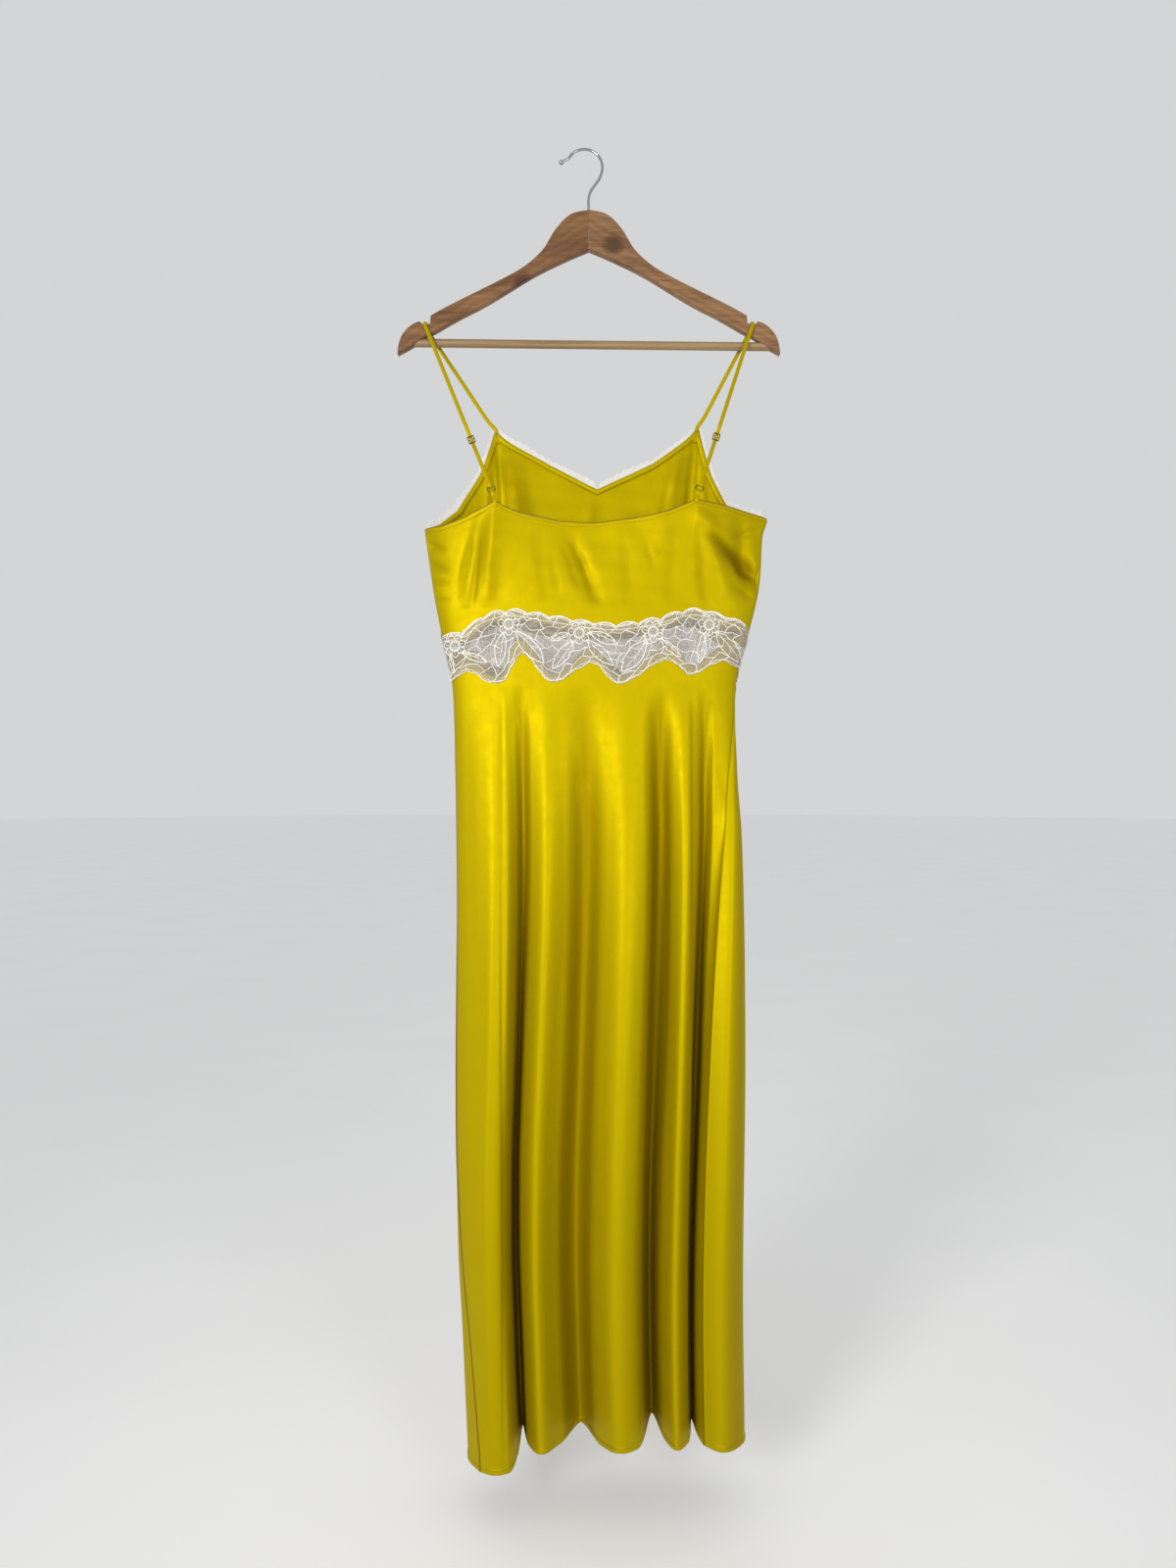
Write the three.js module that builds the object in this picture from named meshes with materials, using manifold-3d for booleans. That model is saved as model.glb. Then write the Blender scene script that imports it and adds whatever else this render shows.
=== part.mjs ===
// A bias-cut satin slip dress with a lace waist, hung by its straps on a wooden hanger.
// Millimetres, +Z up, X across the hanger. -Y is the garment's back, which hangs outwards,
// and +Y its front, towards the wall. The origin is the inside of the hook over the hanger's middle.

import * as THREE from "three";
import { mergeVertices } from "three/addons/utils/BufferGeometryUtils.js";
import Module from "manifold-3d";

const wasm = await Module();
wasm.setup();

// Cloth thicknesses and clearances
const SATIN_WALL = 1.2;
const LACE_WALL = 1.0;
const SEAM_GAP = 0.3;
const LAID_ON = 0.5;
const UNDER_LACE = 8;
const HEM_TURN = 6;
const HEM_RAISE = 0.5;

// Body: depth of the hollow at the waist, and the outline seen from the back, row by row
const WAIST_DEPTH = 26;
const WAIST_LEVEL = -600;
const UNDERARM_LEVEL = -430;
const SIDES = [
  { z: -1520, left: -137, right: 179 },
  { z: -1456, left: -140, right: 178 },
  { z: -1360, left: -144.5, right: 177 },
  { z: -1264, left: -149.5, right: 177.5 },
  { z: -1073, left: -152.5, right: 180 },
  { z: -966, left: -152.5, right: 180 },
  { z: -880, left: -152, right: 179 },
  { z: -793, left: -153, right: 176.5 },
  { z: -720, left: -154.3, right: 171.5 },
  { z: -640, left: -156.5, right: 169 },
  { z: -600, left: -160.5, right: 173 },
  { z: -562, left: -169.7, right: 184 },
  { z: -515, left: -179, right: 195.5 },
  { z: -486, left: -183.6, right: 198.6 },
  { z: -446, left: -189.6, right: 200.5 },
  { z: -430, left: -191.5, right: 205.5 },
];

// Top edges, a row for each station: its x at the waist and its place on the edge
const BACK_EDGE = [
  { name: "left side", waist: -160.5, x: -190.7, y: 0, z: -438 },
  { name: "left wing", waist: -146, x: -167.8, y: -14, z: -437 },
  { name: "left dart", waist: -128, x: -145.2, y: -22, z: -430.6 },
  { name: "left rise", waist: -113, x: -127.3, y: -28, z: -423.2 },
  { name: "left apex, outer", waist: -98, x: -109, y: -32, z: -413.9 },
  { name: "left apex, inner", waist: -93, x: -103.5, y: -32, z: -413.9 },
  { name: "left neck", waist: -72, x: -79.1, y: -29, z: -424.7 },
  { name: "left scoop", waist: -34, x: -31, y: -25, z: -434.3 },
  { name: "centre", waist: 6, x: 6.9, y: -23, z: -435.8 },
  { name: "right scoop", waist: 54, x: 63, y: -27, z: -429.1 },
  { name: "right neck", waist: 78, x: 90, y: -30, z: -423 },
  { name: "right apex, inner", waist: 100, x: 119.5, y: -32, z: -411.2 },
  { name: "right apex, outer", waist: 106, x: 124.7, y: -32, z: -411.2 },
  { name: "right rise", waist: 128, x: 156, y: -24, z: -416.3 },
  { name: "right wing", waist: 146, x: 182, y: -12, z: -421.5 },
  { name: "right side", waist: 173, x: 206.2, y: 0, z: -425.7 },
];
const FRONT_EDGE = [
  { name: "right side", waist: 173, x: 206.2, y: 0, z: -425.7 },
  { name: "right underarm", waist: 150, x: 184, y: 12, z: -420 },
  { name: "right armhole", waist: 132, x: 162.2, y: 20, z: -406.3 },
  { name: "right cup side", waist: 118, x: 143.8, y: 23, z: -369.4 },
  { name: "right apex, outer", waist: 108, x: 130, y: 24, z: -316.5 },
  { name: "right apex, inner", waist: 103, x: 124.5, y: 24, z: -316.5 },
  { name: "right neck", waist: 64, x: 77.5, y: 26, z: -353.7 },
  { name: "neck point", waist: 12, x: 10.1, y: 27, z: -385 },
  { name: "left neck", waist: -42, x: -46.2, y: 26, z: -356.7 },
  { name: "left apex, inner", waist: -92, x: -106, y: 24, z: -319.8 },
  { name: "left apex, outer", waist: -97, x: -111.5, y: 24, z: -319.8 },
  { name: "left cup side", waist: -108, x: -126.6, y: 23, z: -365.9 },
  { name: "left armhole", waist: -126, x: -154.1, y: 18, z: -412.2 },
  { name: "left underarm", waist: -146, x: -174, y: 11, z: -430 },
  { name: "left side", waist: -160.5, x: -190.7, y: 0, z: -438 },
];
const APEXES = { neckPoint: 7, rightInner: 5, rightOuter: 4, leftInner: 9, leftOuter: 10 };

// Soft folds of the bodice: x at the top and foot, depth in (+) or out (-), half width
const BACK_FOLDS = [
  { name: "left wing valley", top: -124, foot: -142, depth: 6, width: 9 },
  { name: "left apex ridge", top: -107, foot: -116, depth: -4, width: 9 },
  { name: "centre drag", top: -24, foot: 6, depth: 2.5, width: 10 },
  { name: "right apex ridge", top: 126, foot: 160, depth: -5, width: 13 },
  { name: "right wing valley", top: 172, foot: 184, depth: 5, width: 9 },
];
const FRONT_FOLDS = [
  { name: "left gather", top: -109, foot: -96, depth: -4, width: 9 },
  { name: "left gather valley", top: -86, foot: -78, depth: 3, width: 10 },
  { name: "right gather", top: 127, foot: 106, depth: -4, width: 9 },
  { name: "right gather valley", top: 106, foot: 92, depth: 3, width: 10 },
];
const BODICE_RELEASE = -533;

// Hem of the skirt, a row for each fold station, clockwise from the left seam seen from below.
// waist is its x at the waist, half is how far down the skirt it has come half way out.
const SKIRT_RELEASE = -620;
const HEM_LEVEL = -1480;
const BACK_HEM = [
  { name: "left seam", waist: -160.5, x: -121, y: -50, z: -1500, half: 0.7 },
  { name: "ridge 1", waist: -118, x: -103, y: -58, z: -1499, half: 0.3 },
  { name: "ridge 1 edge", waist: -100, x: -88, y: -51, z: -1500, half: 0.3 },
  { name: "turn 1", waist: -90, x: -80.5, y: -22, z: -1496, half: 0.3 },
  { name: "valley 1", waist: -80, x: -76, y: 14, z: -1481, half: 0.3 },
  { name: "turn 2", waist: -70, x: -67, y: -24, z: -1484, half: 0.3 },
  { name: "ridge 2", waist: -52, x: -52, y: -50, z: -1480, half: 0.3 },
  { name: "slope 2", waist: -30, x: -31, y: -20, z: -1484, half: 0.3 },
  { name: "valley 2", waist: -8, x: -8, y: 14, z: -1478, half: 0.3 },
  { name: "slope 3", waist: 16, x: 14, y: -28, z: -1482, half: 0.3 },
  { name: "ridge 3", waist: 38, x: 35, y: -52, z: -1478, half: 0.3 },
  { name: "ridge 3 edge", waist: 60, x: 57.5, y: -36, z: -1481, half: 0.28 },
  { name: "valley 3", waist: 80, x: 76, y: 24, z: -1473, half: 0.26 },
  { name: "turn 4", waist: 96, x: 88.5, y: -22, z: -1480, half: 0.26 },
  { name: "ridge 4", waist: 110, x: 100, y: -46, z: -1478, half: 0.26 },
  { name: "turn 4 outer", waist: 124, x: 115, y: -22, z: -1482, half: 0.24 },
  { name: "valley 4", waist: 134, x: 121.5, y: 14, z: -1474, half: 0.22 },
  { name: "turn 5", waist: 146, x: 126, y: -16, z: -1476, half: 0.2 },
  { name: "right seam", waist: 173, x: 131, y: -38, z: -1477, half: 0.17 },
];
const FRONT_HEM = [
  { name: "right seam", waist: 173, x: 131, y: -38, z: -1477, half: 0.17 },
  { name: "ridge 5", waist: 171, x: 152, y: -52, z: -1477, half: 0.24 },
  { name: "right edge", waist: 166, x: 179, y: -20, z: -1481, half: 0.3 },
  { name: "right return", waist: 155, x: 172, y: 22, z: -1484, half: 0.3 },
  { name: "ridge 6", waist: 140, x: 148, y: 56, z: -1484, half: 0.3 },
  { name: "valley 6", waist: 116, x: 120, y: 42, z: -1482, half: 0.3 },
  { name: "ridge 7", waist: 86, x: 86, y: 62, z: -1484, half: 0.3 },
  { name: "valley 7", waist: 54, x: 52, y: 41, z: -1482, half: 0.3 },
  { name: "ridge 8", waist: 20, x: 18, y: 62, z: -1484, half: 0.3 },
  { name: "valley 8", waist: -12, x: -14, y: 42, z: -1482, half: 0.3 },
  { name: "ridge 9", waist: -44, x: -46, y: 60, z: -1484, half: 0.3 },
  { name: "valley 9", waist: -76, x: -76, y: 42, z: -1484, half: 0.3 },
  { name: "ridge 10", waist: -108, x: -104, y: 56, z: -1488, half: 0.35 },
  { name: "left return", waist: -134, x: -130, y: 22, z: -1494, half: 0.4 },
  { name: "left edge", waist: -152, x: -137, y: -22, z: -1500, half: 0.5 },
  { name: "left seam", waist: -160.5, x: -121, y: -50, z: -1500, half: 0.7 },
];

// Lace waist band: its line of small scallops, its arches and points, and the gaps of one repeat
const LACE_TOP = [
  { x: -175, z: -566 },
  { x: -145, z: -561 },
  { x: -118, z: -544 },
  { x: -87, z: -538 },
  { x: -49, z: -544 },
  { x: 24, z: -554 },
  { x: 75, z: -548 },
  { x: 118, z: -537 },
  { x: 158, z: -545 },
  { x: 190, z: -556 },
];
const LACE_FOOT = [
  { x: -175, z: -612 },
  { x: -159, z: -614 },
  { x: -138, z: -602 },
  { x: -112, z: -616 },
  { x: -96, z: -613 },
  { x: -76, z: -584 },
  { x: -42, z: -616 },
  { x: 4, z: -594 },
  { x: 35, z: -618 },
  { x: 88, z: -590 },
  { x: 116, z: -607 },
  { x: 152, z: -591 },
  { x: 186, z: -606 },
];
const SMALL_SCALLOPS = 14;
const STEPS_PER_SCALLOP = 4;
const LACE_SIDE_EASE = 0.6;
const LACE_CENTRE = 6.3;
const SCALLOP_RISE = 5;
const LACE_GAPS = [
  { x: -133, z: -580, wide: 10, high: 15 },
  { x: -118, z: -600, wide: 8, high: 11 },
  { x: -113, z: -570, wide: 9, high: 13 },
  { x: -100, z: -556, wide: 8, high: 10 },
  { x: -97, z: -584, wide: 9, high: 15 },
  { x: -80, z: -564, wide: 10, high: 12 },
  { x: -60, z: -580, wide: 10, high: 14 },
  { x: -60, z: -558, wide: 8, high: 9 },
  { x: -42, z: -598, wide: 9, high: 13 },
  { x: -38, z: -570, wide: 10, high: 15 },
  { x: -20, z: -584, wide: 9, high: 13 },
  { x: -14, z: -563, wide: 8, high: 10 },
  { x: 4, z: -575, wide: 10, high: 13 },
  { x: 20, z: -592, wide: 9, high: 12 },
  { x: 36, z: -602, wide: 8, high: 11 },
  { x: 38, z: -574, wide: 10, high: 16 },
  { x: 56, z: -588, wide: 9, high: 13 },
  { x: 62, z: -563, wide: 8, high: 11 },
  { x: 84, z: -572, wide: 10, high: 14 },
  { x: 98, z: -555, wide: 8, high: 10 },
  { x: 104, z: -584, wide: 9, high: 14 },
  { x: 120, z: -566, wide: 10, high: 15 },
  { x: 136, z: -580, wide: 8, high: 11 },
  { x: 140, z: -557, wide: 8, high: 10 },
];

// Bands along the front's edges: the facing inside, the scalloped lace outside. OFF_EDGE keeps a
// band's row from lying just on the cloth's own edge.
const OFF_EDGE = 0.4;
const FACING_WIDTH = 6;
const FACING_OFF = 0.8;
const EDGE_LACE_OVER = 7;
const EDGE_LACE_RISE = 6;
const EDGE_LACE_SCALLOP = 3;
const EDGE_COLUMNS = 5;

// Grids: columns between two stations, and rows. SPREAD_STEP is the step of the outline's own table.
const SPREAD_STEP = 40;
const BODICE_COLUMNS = 3;
const BODICE_ROWS = 6;
const SKIRT_COLUMNS = 3;
const SKIRT_ROWS = 10;

// Hanger: half the outline of its two arms, from the joint to the tip and back
const HANGER_THICKNESS = 12;
const ARM_BEVEL = 1.5;
const ARM_TOP = [
  [0.15, -69.5], [10, -70.8], [22, -75], [33, -85], [42, -97], [50, -111], [60, -122.5], [76, -135.5],
  [98, -148], [165, -181.5], [182.6, -191.5], [183, -199.5], [185.6, -201.7], [191.4, -201.7], [195, -198.3],
  [203, -201], [210.5, -207], [216.5, -215.5], [220, -227], [220.6, -237],
];
const ARM_FOOT = [
  [203, -227], [188, -216.5], [175, -210], [155, -198], [118, -179], [62, -145], [22, -125.5], [0.15, -116.3],
];
const NOTCH_FLOOR = -201.7;
const BAR = { left: -207, right: 211, leftZ: -222, rightZ: -226.6, radius: 4.75 };
const HOOK = {
  wire: 1.6, centreX: -5.2, centreZ: -18.7, radius: 20.9, foot: -90, tipX: -29.8, tipZ: -12, ball: 2.9,
};

// Straps
const STRAP_WIDTH = 4.4;
const STRAP_WALL = 1.0;
const RING_RADIUS = 4.2;
const RING_WIRE = 0.7;
const SLIDER = { wide: 8, high: 9, bar: 1, slot: 3 };
const FIT = 1.7;
const IN_RING = 2.5;
const LOOP_IN_RING = 2.9;
const LOOP_TAIL = 5;
const OVER_NOTCH = 1.6;
const OFF_NOTCH = 1.6;
const BELOW_NOTCH = 2.3;
const LEFT_STRAP = { notch: -188.5, slider: 63, ring: [-110.2, -33.5, -399.5], apex: [-106.3, -32, -413.9] };
const RIGHT_STRAP = { notch: 188.5, slider: 64, ring: [125.2, -33.5, -398.5], apex: [122.1, -32, -411.2] };

const COLOURS = {
  satin: 0xd8c400, lace: 0xebe6dc, wood: 0x9a6a44, bar: 0xc09a68, chrome: 0xc8cacc, brass: 0x8f6f35,
};

// Value of a table's column at a place, on a smooth curve through its rows.
function readTable(rows, by, key, at) {
  const last = rows.length - 1;
  let i = 0;
  while (i < last - 1 && rows[i + 1][by] < at) i++;
  const slope = (j) => {
    const before = rows[Math.max(j - 1, 0)];
    const after = rows[Math.min(j + 1, last)];
    return (after[key] - before[key]) / (after[by] - before[by]);
  };
  const span = rows[i + 1][by] - rows[i][by];
  const t = THREE.MathUtils.clamp((at - rows[i][by]) / span, 0, 1);
  const ends = (2 * t ** 3 - 3 * t ** 2 + 1) * rows[i][key] + (3 * t ** 2 - 2 * t ** 3) * rows[i + 1][key];
  return ends + span * ((t ** 3 - 2 * t ** 2 + t) * slope(i) + (t ** 3 - t ** 2) * slope(i + 1));
}

// A number's share along a list of stations, straight between them.
function between(rows, key, u) {
  const i = Math.min(Math.floor(u), rows.length - 2);
  return THREE.MathUtils.lerp(rows[i][key], rows[i + 1][key], u - i);
}

// The left and right of a table at a height, and a number kept at its share between two such pairs.
function sidesAt(z, rows = SIDES) {
  return [readTable(rows, "z", "left", z), readTable(rows, "z", "right", z)];
}

function kept(x, from, to) {
  return to[0] + ((x - from[0]) / (from[1] - from[0])) * (to[1] - to[0]);
}

// The plain body: a blunt oval at each height. turn 0 is the left side, 1 the right, 2 the left again.
function oval(turn, z) {
  const [left, right] = sidesAt(z);
  const across = Math.sin(Math.PI * (turn - 0.5));
  const depth = WAIST_DEPTH * Math.sqrt(Math.max(0, 1 - Math.abs(across) ** 3));
  const x = (left + right) / 2 + (across * (right - left)) / 2;
  return new THREE.Vector3(x, -Math.sign(Math.sin(Math.PI * turn)) * depth, z);
}

function turnAt(x, front) {
  const [left, right] = sidesAt(WAIST_LEVEL);
  const across = THREE.MathUtils.clamp((2 * x - left - right) / (right - left), -1, 1);
  const share = Math.asin(across) / Math.PI;
  return front ? 1.5 - share : 0.5 + share;
}

// A panel's stations with their turns, and a smooth plan curve through their free ends.
function plan(stations, front) {
  const rows = stations.map((row) => ({ ...row, turn: turnAt(row.waist, front) }));
  const points = rows.map((row) => new THREE.Vector3(row.x, row.y, 0));
  const curve = new THREE.CatmullRomCurve3(points, false, "centripetal");
  const most = rows.length - 1;
  return { rows, front, most, end: (u) => curve.getPoint(u / most) };
}

const backBodice = plan(BACK_EDGE, false);
const frontBodice = plan(FRONT_EDGE, true);
const backSkirt = plan(BACK_HEM, false);
const frontSkirt = plan(FRONT_HEM, true);

// How far a fold has come out of the plain body, t of the way down, half out at the share half.
function grown(t, half) {
  if (half < 0.5) return 1 - (1 - t) ** (Math.log(0.5) / Math.log(1 - half));
  return t ** (Math.log(0.5) / Math.log(half));
}

function bodicePoint(panel, folds, u, z) {
  const top = between(panel.rows, "z", u);
  const t = THREE.MathUtils.clamp((z - BODICE_RELEASE) / (top - BODICE_RELEASE), 0, 1);
  const free = panel.end(u).setZ(z);
  free.x = kept(free.x, sidesAt(UNDERARM_LEVEL), sidesAt(z));
  const point = oval(between(panel.rows, "turn", u), z).lerp(free, t * t * (3 - 2 * t));
  const inwards = panel.front ? -1 : 1;
  for (const fold of folds) {
    const middle = THREE.MathUtils.lerp(fold.foot, fold.top, t);
    const away = (point.x - middle) / fold.width;
    point.y += inwards * fold.depth * Math.exp(-away * away) * Math.sin(Math.PI * t);
  }
  return point;
}

function looseSkirtPoint(panel, u, z) {
  const t = THREE.MathUtils.clamp((SKIRT_RELEASE - z) / (SKIRT_RELEASE - HEM_LEVEL), 0, 1);
  const free = panel.end(u).setZ(z);
  return oval(between(panel.rows, "turn", u), z).lerp(free, grown(t, between(panel.rows, "half", u)));
}

// The loose folds are spread sideways so that their outline keeps to the sides of the body.
const spreadRows = [];
for (let z = HEM_LEVEL - SPREAD_STEP; z <= WAIST_LEVEL + SPREAD_STEP; z += SPREAD_STEP) {
  const xs = [backSkirt, frontSkirt].flatMap((panel) => {
    return spaced(0, panel.most, 8 * panel.most).map((u) => looseSkirtPoint(panel, u, z).x);
  });
  spreadRows.push({ z, left: Math.min(...xs), right: Math.max(...xs) });
}

function skirtPoint(panel, u, z) {
  const point = looseSkirtPoint(panel, u, z);
  if (z >= SKIRT_RELEASE) return point;
  point.x = kept(point.x, sidesAt(z, spreadRows), sidesAt(z));
  return point;
}

// Outward direction of a surface at a place, from its neighbours within its length and up.
function outward(surface, u, z, first, last) {
  const step = 0.02;
  const before = surface(Math.max(u - step, first), z);
  const after = surface(Math.min(u + step, last), z);
  const up = surface(u, z + 1).sub(surface(u, z - 1));
  return after.sub(before).cross(up).normalize();
}

// Closed wall from a grid of outer points, thick inwards along the given directions.
function wallGeometry(outer, normals, thick) {
  const rows = outer.length;
  const columns = outer[0].length;
  const positions = [];
  const put = (p) => positions.push(p.x, p.y, p.z);
  outer.forEach((row) => row.forEach(put));
  outer.forEach((row, j) => row.forEach((p, i) => put(p.clone().addScaledVector(normals[j][i], -thick))));
  const at = (j, i, inner) => (inner ? rows * columns : 0) + j * columns + i;
  const index = [];
  const quad = (a, b, c, d) => index.push(a, b, c, a, c, d);
  for (let j = 0; j + 1 < rows; j++) {
    for (let i = 0; i + 1 < columns; i++) {
      quad(at(j, i), at(j, i + 1), at(j + 1, i + 1), at(j + 1, i));
      quad(at(j, i, true), at(j + 1, i, true), at(j + 1, i + 1, true), at(j, i + 1, true));
    }
    quad(at(j, 0), at(j + 1, 0), at(j + 1, 0, true), at(j, 0, true));
    quad(at(j, columns - 1), at(j, columns - 1, true), at(j + 1, columns - 1, true), at(j + 1, columns - 1));
  }
  for (let i = 0; i + 1 < columns; i++) {
    quad(at(0, i), at(0, i, true), at(0, i + 1, true), at(0, i + 1));
    quad(at(rows - 1, i), at(rows - 1, i + 1), at(rows - 1, i + 1, true), at(rows - 1, i, true));
  }
  return facingOut(positions, index);
}

function signedVolume(positions, index) {
  const corner = (i) => new THREE.Vector3().fromArray(positions, 3 * index[i]);
  let sum = 0;
  for (let i = 0; i < index.length; i += 3) sum += corner(i).dot(corner(i + 1).cross(corner(i + 2)));
  return sum / 6;
}

function facingOut(positions, index) {
  if (signedVolume(positions, index) < 0) {
    for (let i = 0; i < index.length; i += 3) [index[i + 1], index[i + 2]] = [index[i + 2], index[i + 1]];
  }
  const geometry = new THREE.BufferGeometry();
  geometry.setAttribute("position", new THREE.Float32BufferAttribute(positions, 3));
  geometry.setIndex(index);
  return geometry;
}

// Grid of a panel. levels(u) lists its heights, foot first, and mate is the panel that it is sewn to
// at both sides: the two share the seam's direction, so their edges stay a seam's gap apart.
function panelGeometry(panel, mate, perStation, levels, raise = () => 0) {
  const columns = panel.most * perStation;
  const outer = [];
  const normals = [];
  for (let i = 0; i <= columns; i++) {
    const u = (i / columns) * panel.most;
    const inwardsOfSeam = i === 0 ? 1 : i === columns ? -1 : 0;
    levels(u).forEach((z, j) => {
      outer[j] ??= [];
      normals[j] ??= [];
      const out = outward(panel.surface, u, z, 0, panel.most);
      if (inwardsOfSeam) {
        out.add(outward(mate.surface, i === 0 ? mate.most : 0, z, 0, mate.most)).normalize();
      }
      const along = new THREE.Vector3(0, 0, 1).cross(out).normalize();
      outer[j][i] = panel.surface(u, z)
        .addScaledVector(out, raise(j))
        .addScaledVector(along, (inwardsOfSeam * SEAM_GAP) / 2);
      normals[j][i] = out;
    });
  }
  return wallGeometry(outer, normals, SATIN_WALL);
}

function spaced(from, to, steps) {
  return Array.from({ length: steps + 1 }, (_, i) => from + ((to - from) * i) / steps);
}

const group = new THREE.Group();

function addMesh(name, geometry, color, roughness, metalness = 0) {
  const mesh = new THREE.Mesh(geometry, new THREE.MeshStandardMaterial({ color, roughness, metalness }));
  mesh.name = name;
  group.add(mesh);
  return mesh;
}

// Bodice panels
function laceTop(x) {
  return readTable(LACE_TOP, "x", "z", x);
}

function laceFoot(x) {
  return readTable(LACE_FOOT, "x", "z", x);
}

// The front's band is drawn mirrored, so the front's panels reach under both drawings
function bothDrawings(panel, edge, pick, x) {
  return panel === frontBodice || panel === frontSkirt ? pick(edge(x), edge(2 * LACE_CENTRE - x)) : edge(x);
}

const bodiceSurface = (panel, folds) => (u, z) => bodicePoint(panel, folds, u, z);
backBodice.surface = bodiceSurface(backBodice, BACK_FOLDS);
frontBodice.surface = bodiceSurface(frontBodice, FRONT_FOLDS);
backSkirt.surface = (u, z) => skirtPoint(backSkirt, u, z);
frontSkirt.surface = (u, z) => skirtPoint(frontSkirt, u, z);

function bodiceLevels(panel) {
  return (u) => {
    const x = oval(between(panel.rows, "turn", u), WAIST_LEVEL + 50).x;
    const foot = bothDrawings(panel, laceTop, Math.min, x) - UNDER_LACE;
    return [foot, ...spaced(BODICE_RELEASE, between(panel.rows, "z", u), BODICE_ROWS)];
  };
}

for (const [name, panel, mate] of [
  ["bodice_back", backBodice, frontBodice],
  ["bodice_front", frontBodice, backBodice],
]) {
  const geometry = panelGeometry(panel, mate, BODICE_COLUMNS, bodiceLevels(panel));
  addMesh(name, geometry, COLOURS.satin, 0.35);
}

// Skirt panels, with the turned hem raised along the foot
function skirtLevels(panel) {
  return (u) => {
    const x = oval(between(panel.rows, "turn", u), WAIST_LEVEL).x;
    const top = bothDrawings(panel, laceFoot, Math.max, x) + UNDER_LACE;
    const hem = between(panel.rows, "z", u);
    return [hem, hem + HEM_TURN, ...spaced(hem + HEM_TURN + HEM_RAISE, SKIRT_RELEASE, SKIRT_ROWS), top];
  };
}

const hemRaise = (j) => (j < 2 ? HEM_RAISE : 0);
for (const [name, panel, mate] of [
  ["skirt_back", backSkirt, frontSkirt],
  ["skirt_front", frontSkirt, backSkirt],
]) {
  const geometry = panelGeometry(panel, mate, SKIRT_COLUMNS, skirtLevels(panel), hemRaise);
  addMesh(name, geometry, COLOURS.satin, 0.35);
}

// Solids for cutting
function solidOf(geometry) {
  const bare = geometry.clone();
  bare.deleteAttribute("normal");
  bare.deleteAttribute("uv");
  const merged = mergeVertices(bare, 1e-4);
  return new wasm.Manifold(
    new wasm.Mesh({
      numProp: 3,
      vertProperties: merged.attributes.position.array,
      triVerts: new Uint32Array(merged.index.array),
    }),
  );
}

function geometryOf(solid) {
  const mesh = solid.getMesh();
  const geometry = new THREE.BufferGeometry();
  geometry.setAttribute("position", new THREE.BufferAttribute(new Float32Array(mesh.vertProperties), 3));
  geometry.setIndex(new THREE.BufferAttribute(new Uint32Array(mesh.triVerts), 1));
  return geometry;
}

// Lace waist band: a grid in even steps along the oval, then its gaps cut through
function evenTurns(first, last, steps) {
  const fine = spaced(first, last, 600);
  const lengths = [0];
  for (let i = 1; i < fine.length; i++) {
    lengths.push(lengths[i - 1] + oval(fine[i], WAIST_LEVEL).distanceTo(oval(fine[i - 1], WAIST_LEVEL)));
  }
  const whole = lengths[lengths.length - 1];
  return spaced(0, whole, steps).map((length) => fine[lengths.findIndex((l) => l >= length - 1e-6)]);
}

function laceBand(front) {
  const columns = SMALL_SCALLOPS * STEPS_PER_SCALLOP;
  const turns = evenTurns(front ? 1 : 0, front ? 2 : 1, columns);
  const mirror = (x) => (front ? 2 * LACE_CENTRE - x : x);
  const outer = [];
  const normals = [];
  turns.forEach((turn, i) => {
    const x = mirror(oval(turn, WAIST_LEVEL + 20).x);
    const phase = (i % STEPS_PER_SCALLOP) / STEPS_PER_SCALLOP;
    const rise = SCALLOP_RISE * Math.sin(Math.PI * phase) ** 0.7;
    spaced(laceFoot(x), laceTop(x) + rise, 2).forEach((z, j) => {
      outer[j] ??= [];
      normals[j] ??= [];
      const out = outward(oval, turn, z, -1, 3);
      const sideEase = LACE_SIDE_EASE * Math.abs(Math.cos(Math.PI * turn)) ** 16;
      const point = oval(turn, z).addScaledVector(out, LAID_ON + LACE_WALL + sideEase);
      if (i === 0 || i === columns) point.y += (front ? 1 : -1) * (SEAM_GAP / 2);
      outer[j][i] = point;
      normals[j][i] = out;
    });
  });
  let band = solidOf(wallGeometry(outer, normals, LACE_WALL));
  for (const gap of LACE_GAPS) {
    const shape = new THREE.Shape();
    const sides = 6;
    for (let k = 0; k < sides; k++) {
      const angle = ((k + 0.5) / sides) * 2 * Math.PI;
      const at = [(gap.wide / 2) * Math.sin(angle), (gap.high / 2) * Math.cos(angle)];
      if (k) shape.lineTo(...at);
      else shape.moveTo(...at);
    }
    const depth = 2 * WAIST_DEPTH;
    const cutter = new THREE.ExtrudeGeometry(shape, { depth, bevelEnabled: false });
    cutter.rotateX(Math.PI / 2);
    cutter.translate(mirror(gap.x), front ? depth + 2 : -2, gap.z);
    band = band.subtract(solidOf(cutter));
  }
  return geometryOf(band);
}

addMesh("lace_waist_back", laceBand(false), COLOURS.lace, 0.8);
addMesh("lace_waist_front", laceBand(true), COLOURS.lace, 0.8);

// The front's surface over a place in the hanging plane, also past its edge, with its outward direction
function frontAt(x, z) {
  let low = 0;
  let high = frontBodice.most;
  for (let i = 0; i < 30; i++) {
    const middle = (low + high) / 2;
    if (frontBodice.surface(middle, z).x > x) low = middle;
    else high = middle;
  }
  const u = (low + high) / 2;
  return { point: frontBodice.surface(u, z), out: outward(frontBodice.surface, u, z, 0, frontBodice.most) };
}

const frontEdge = (u) => frontBodice.surface(u, between(frontBodice.rows, "z", u));

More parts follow.
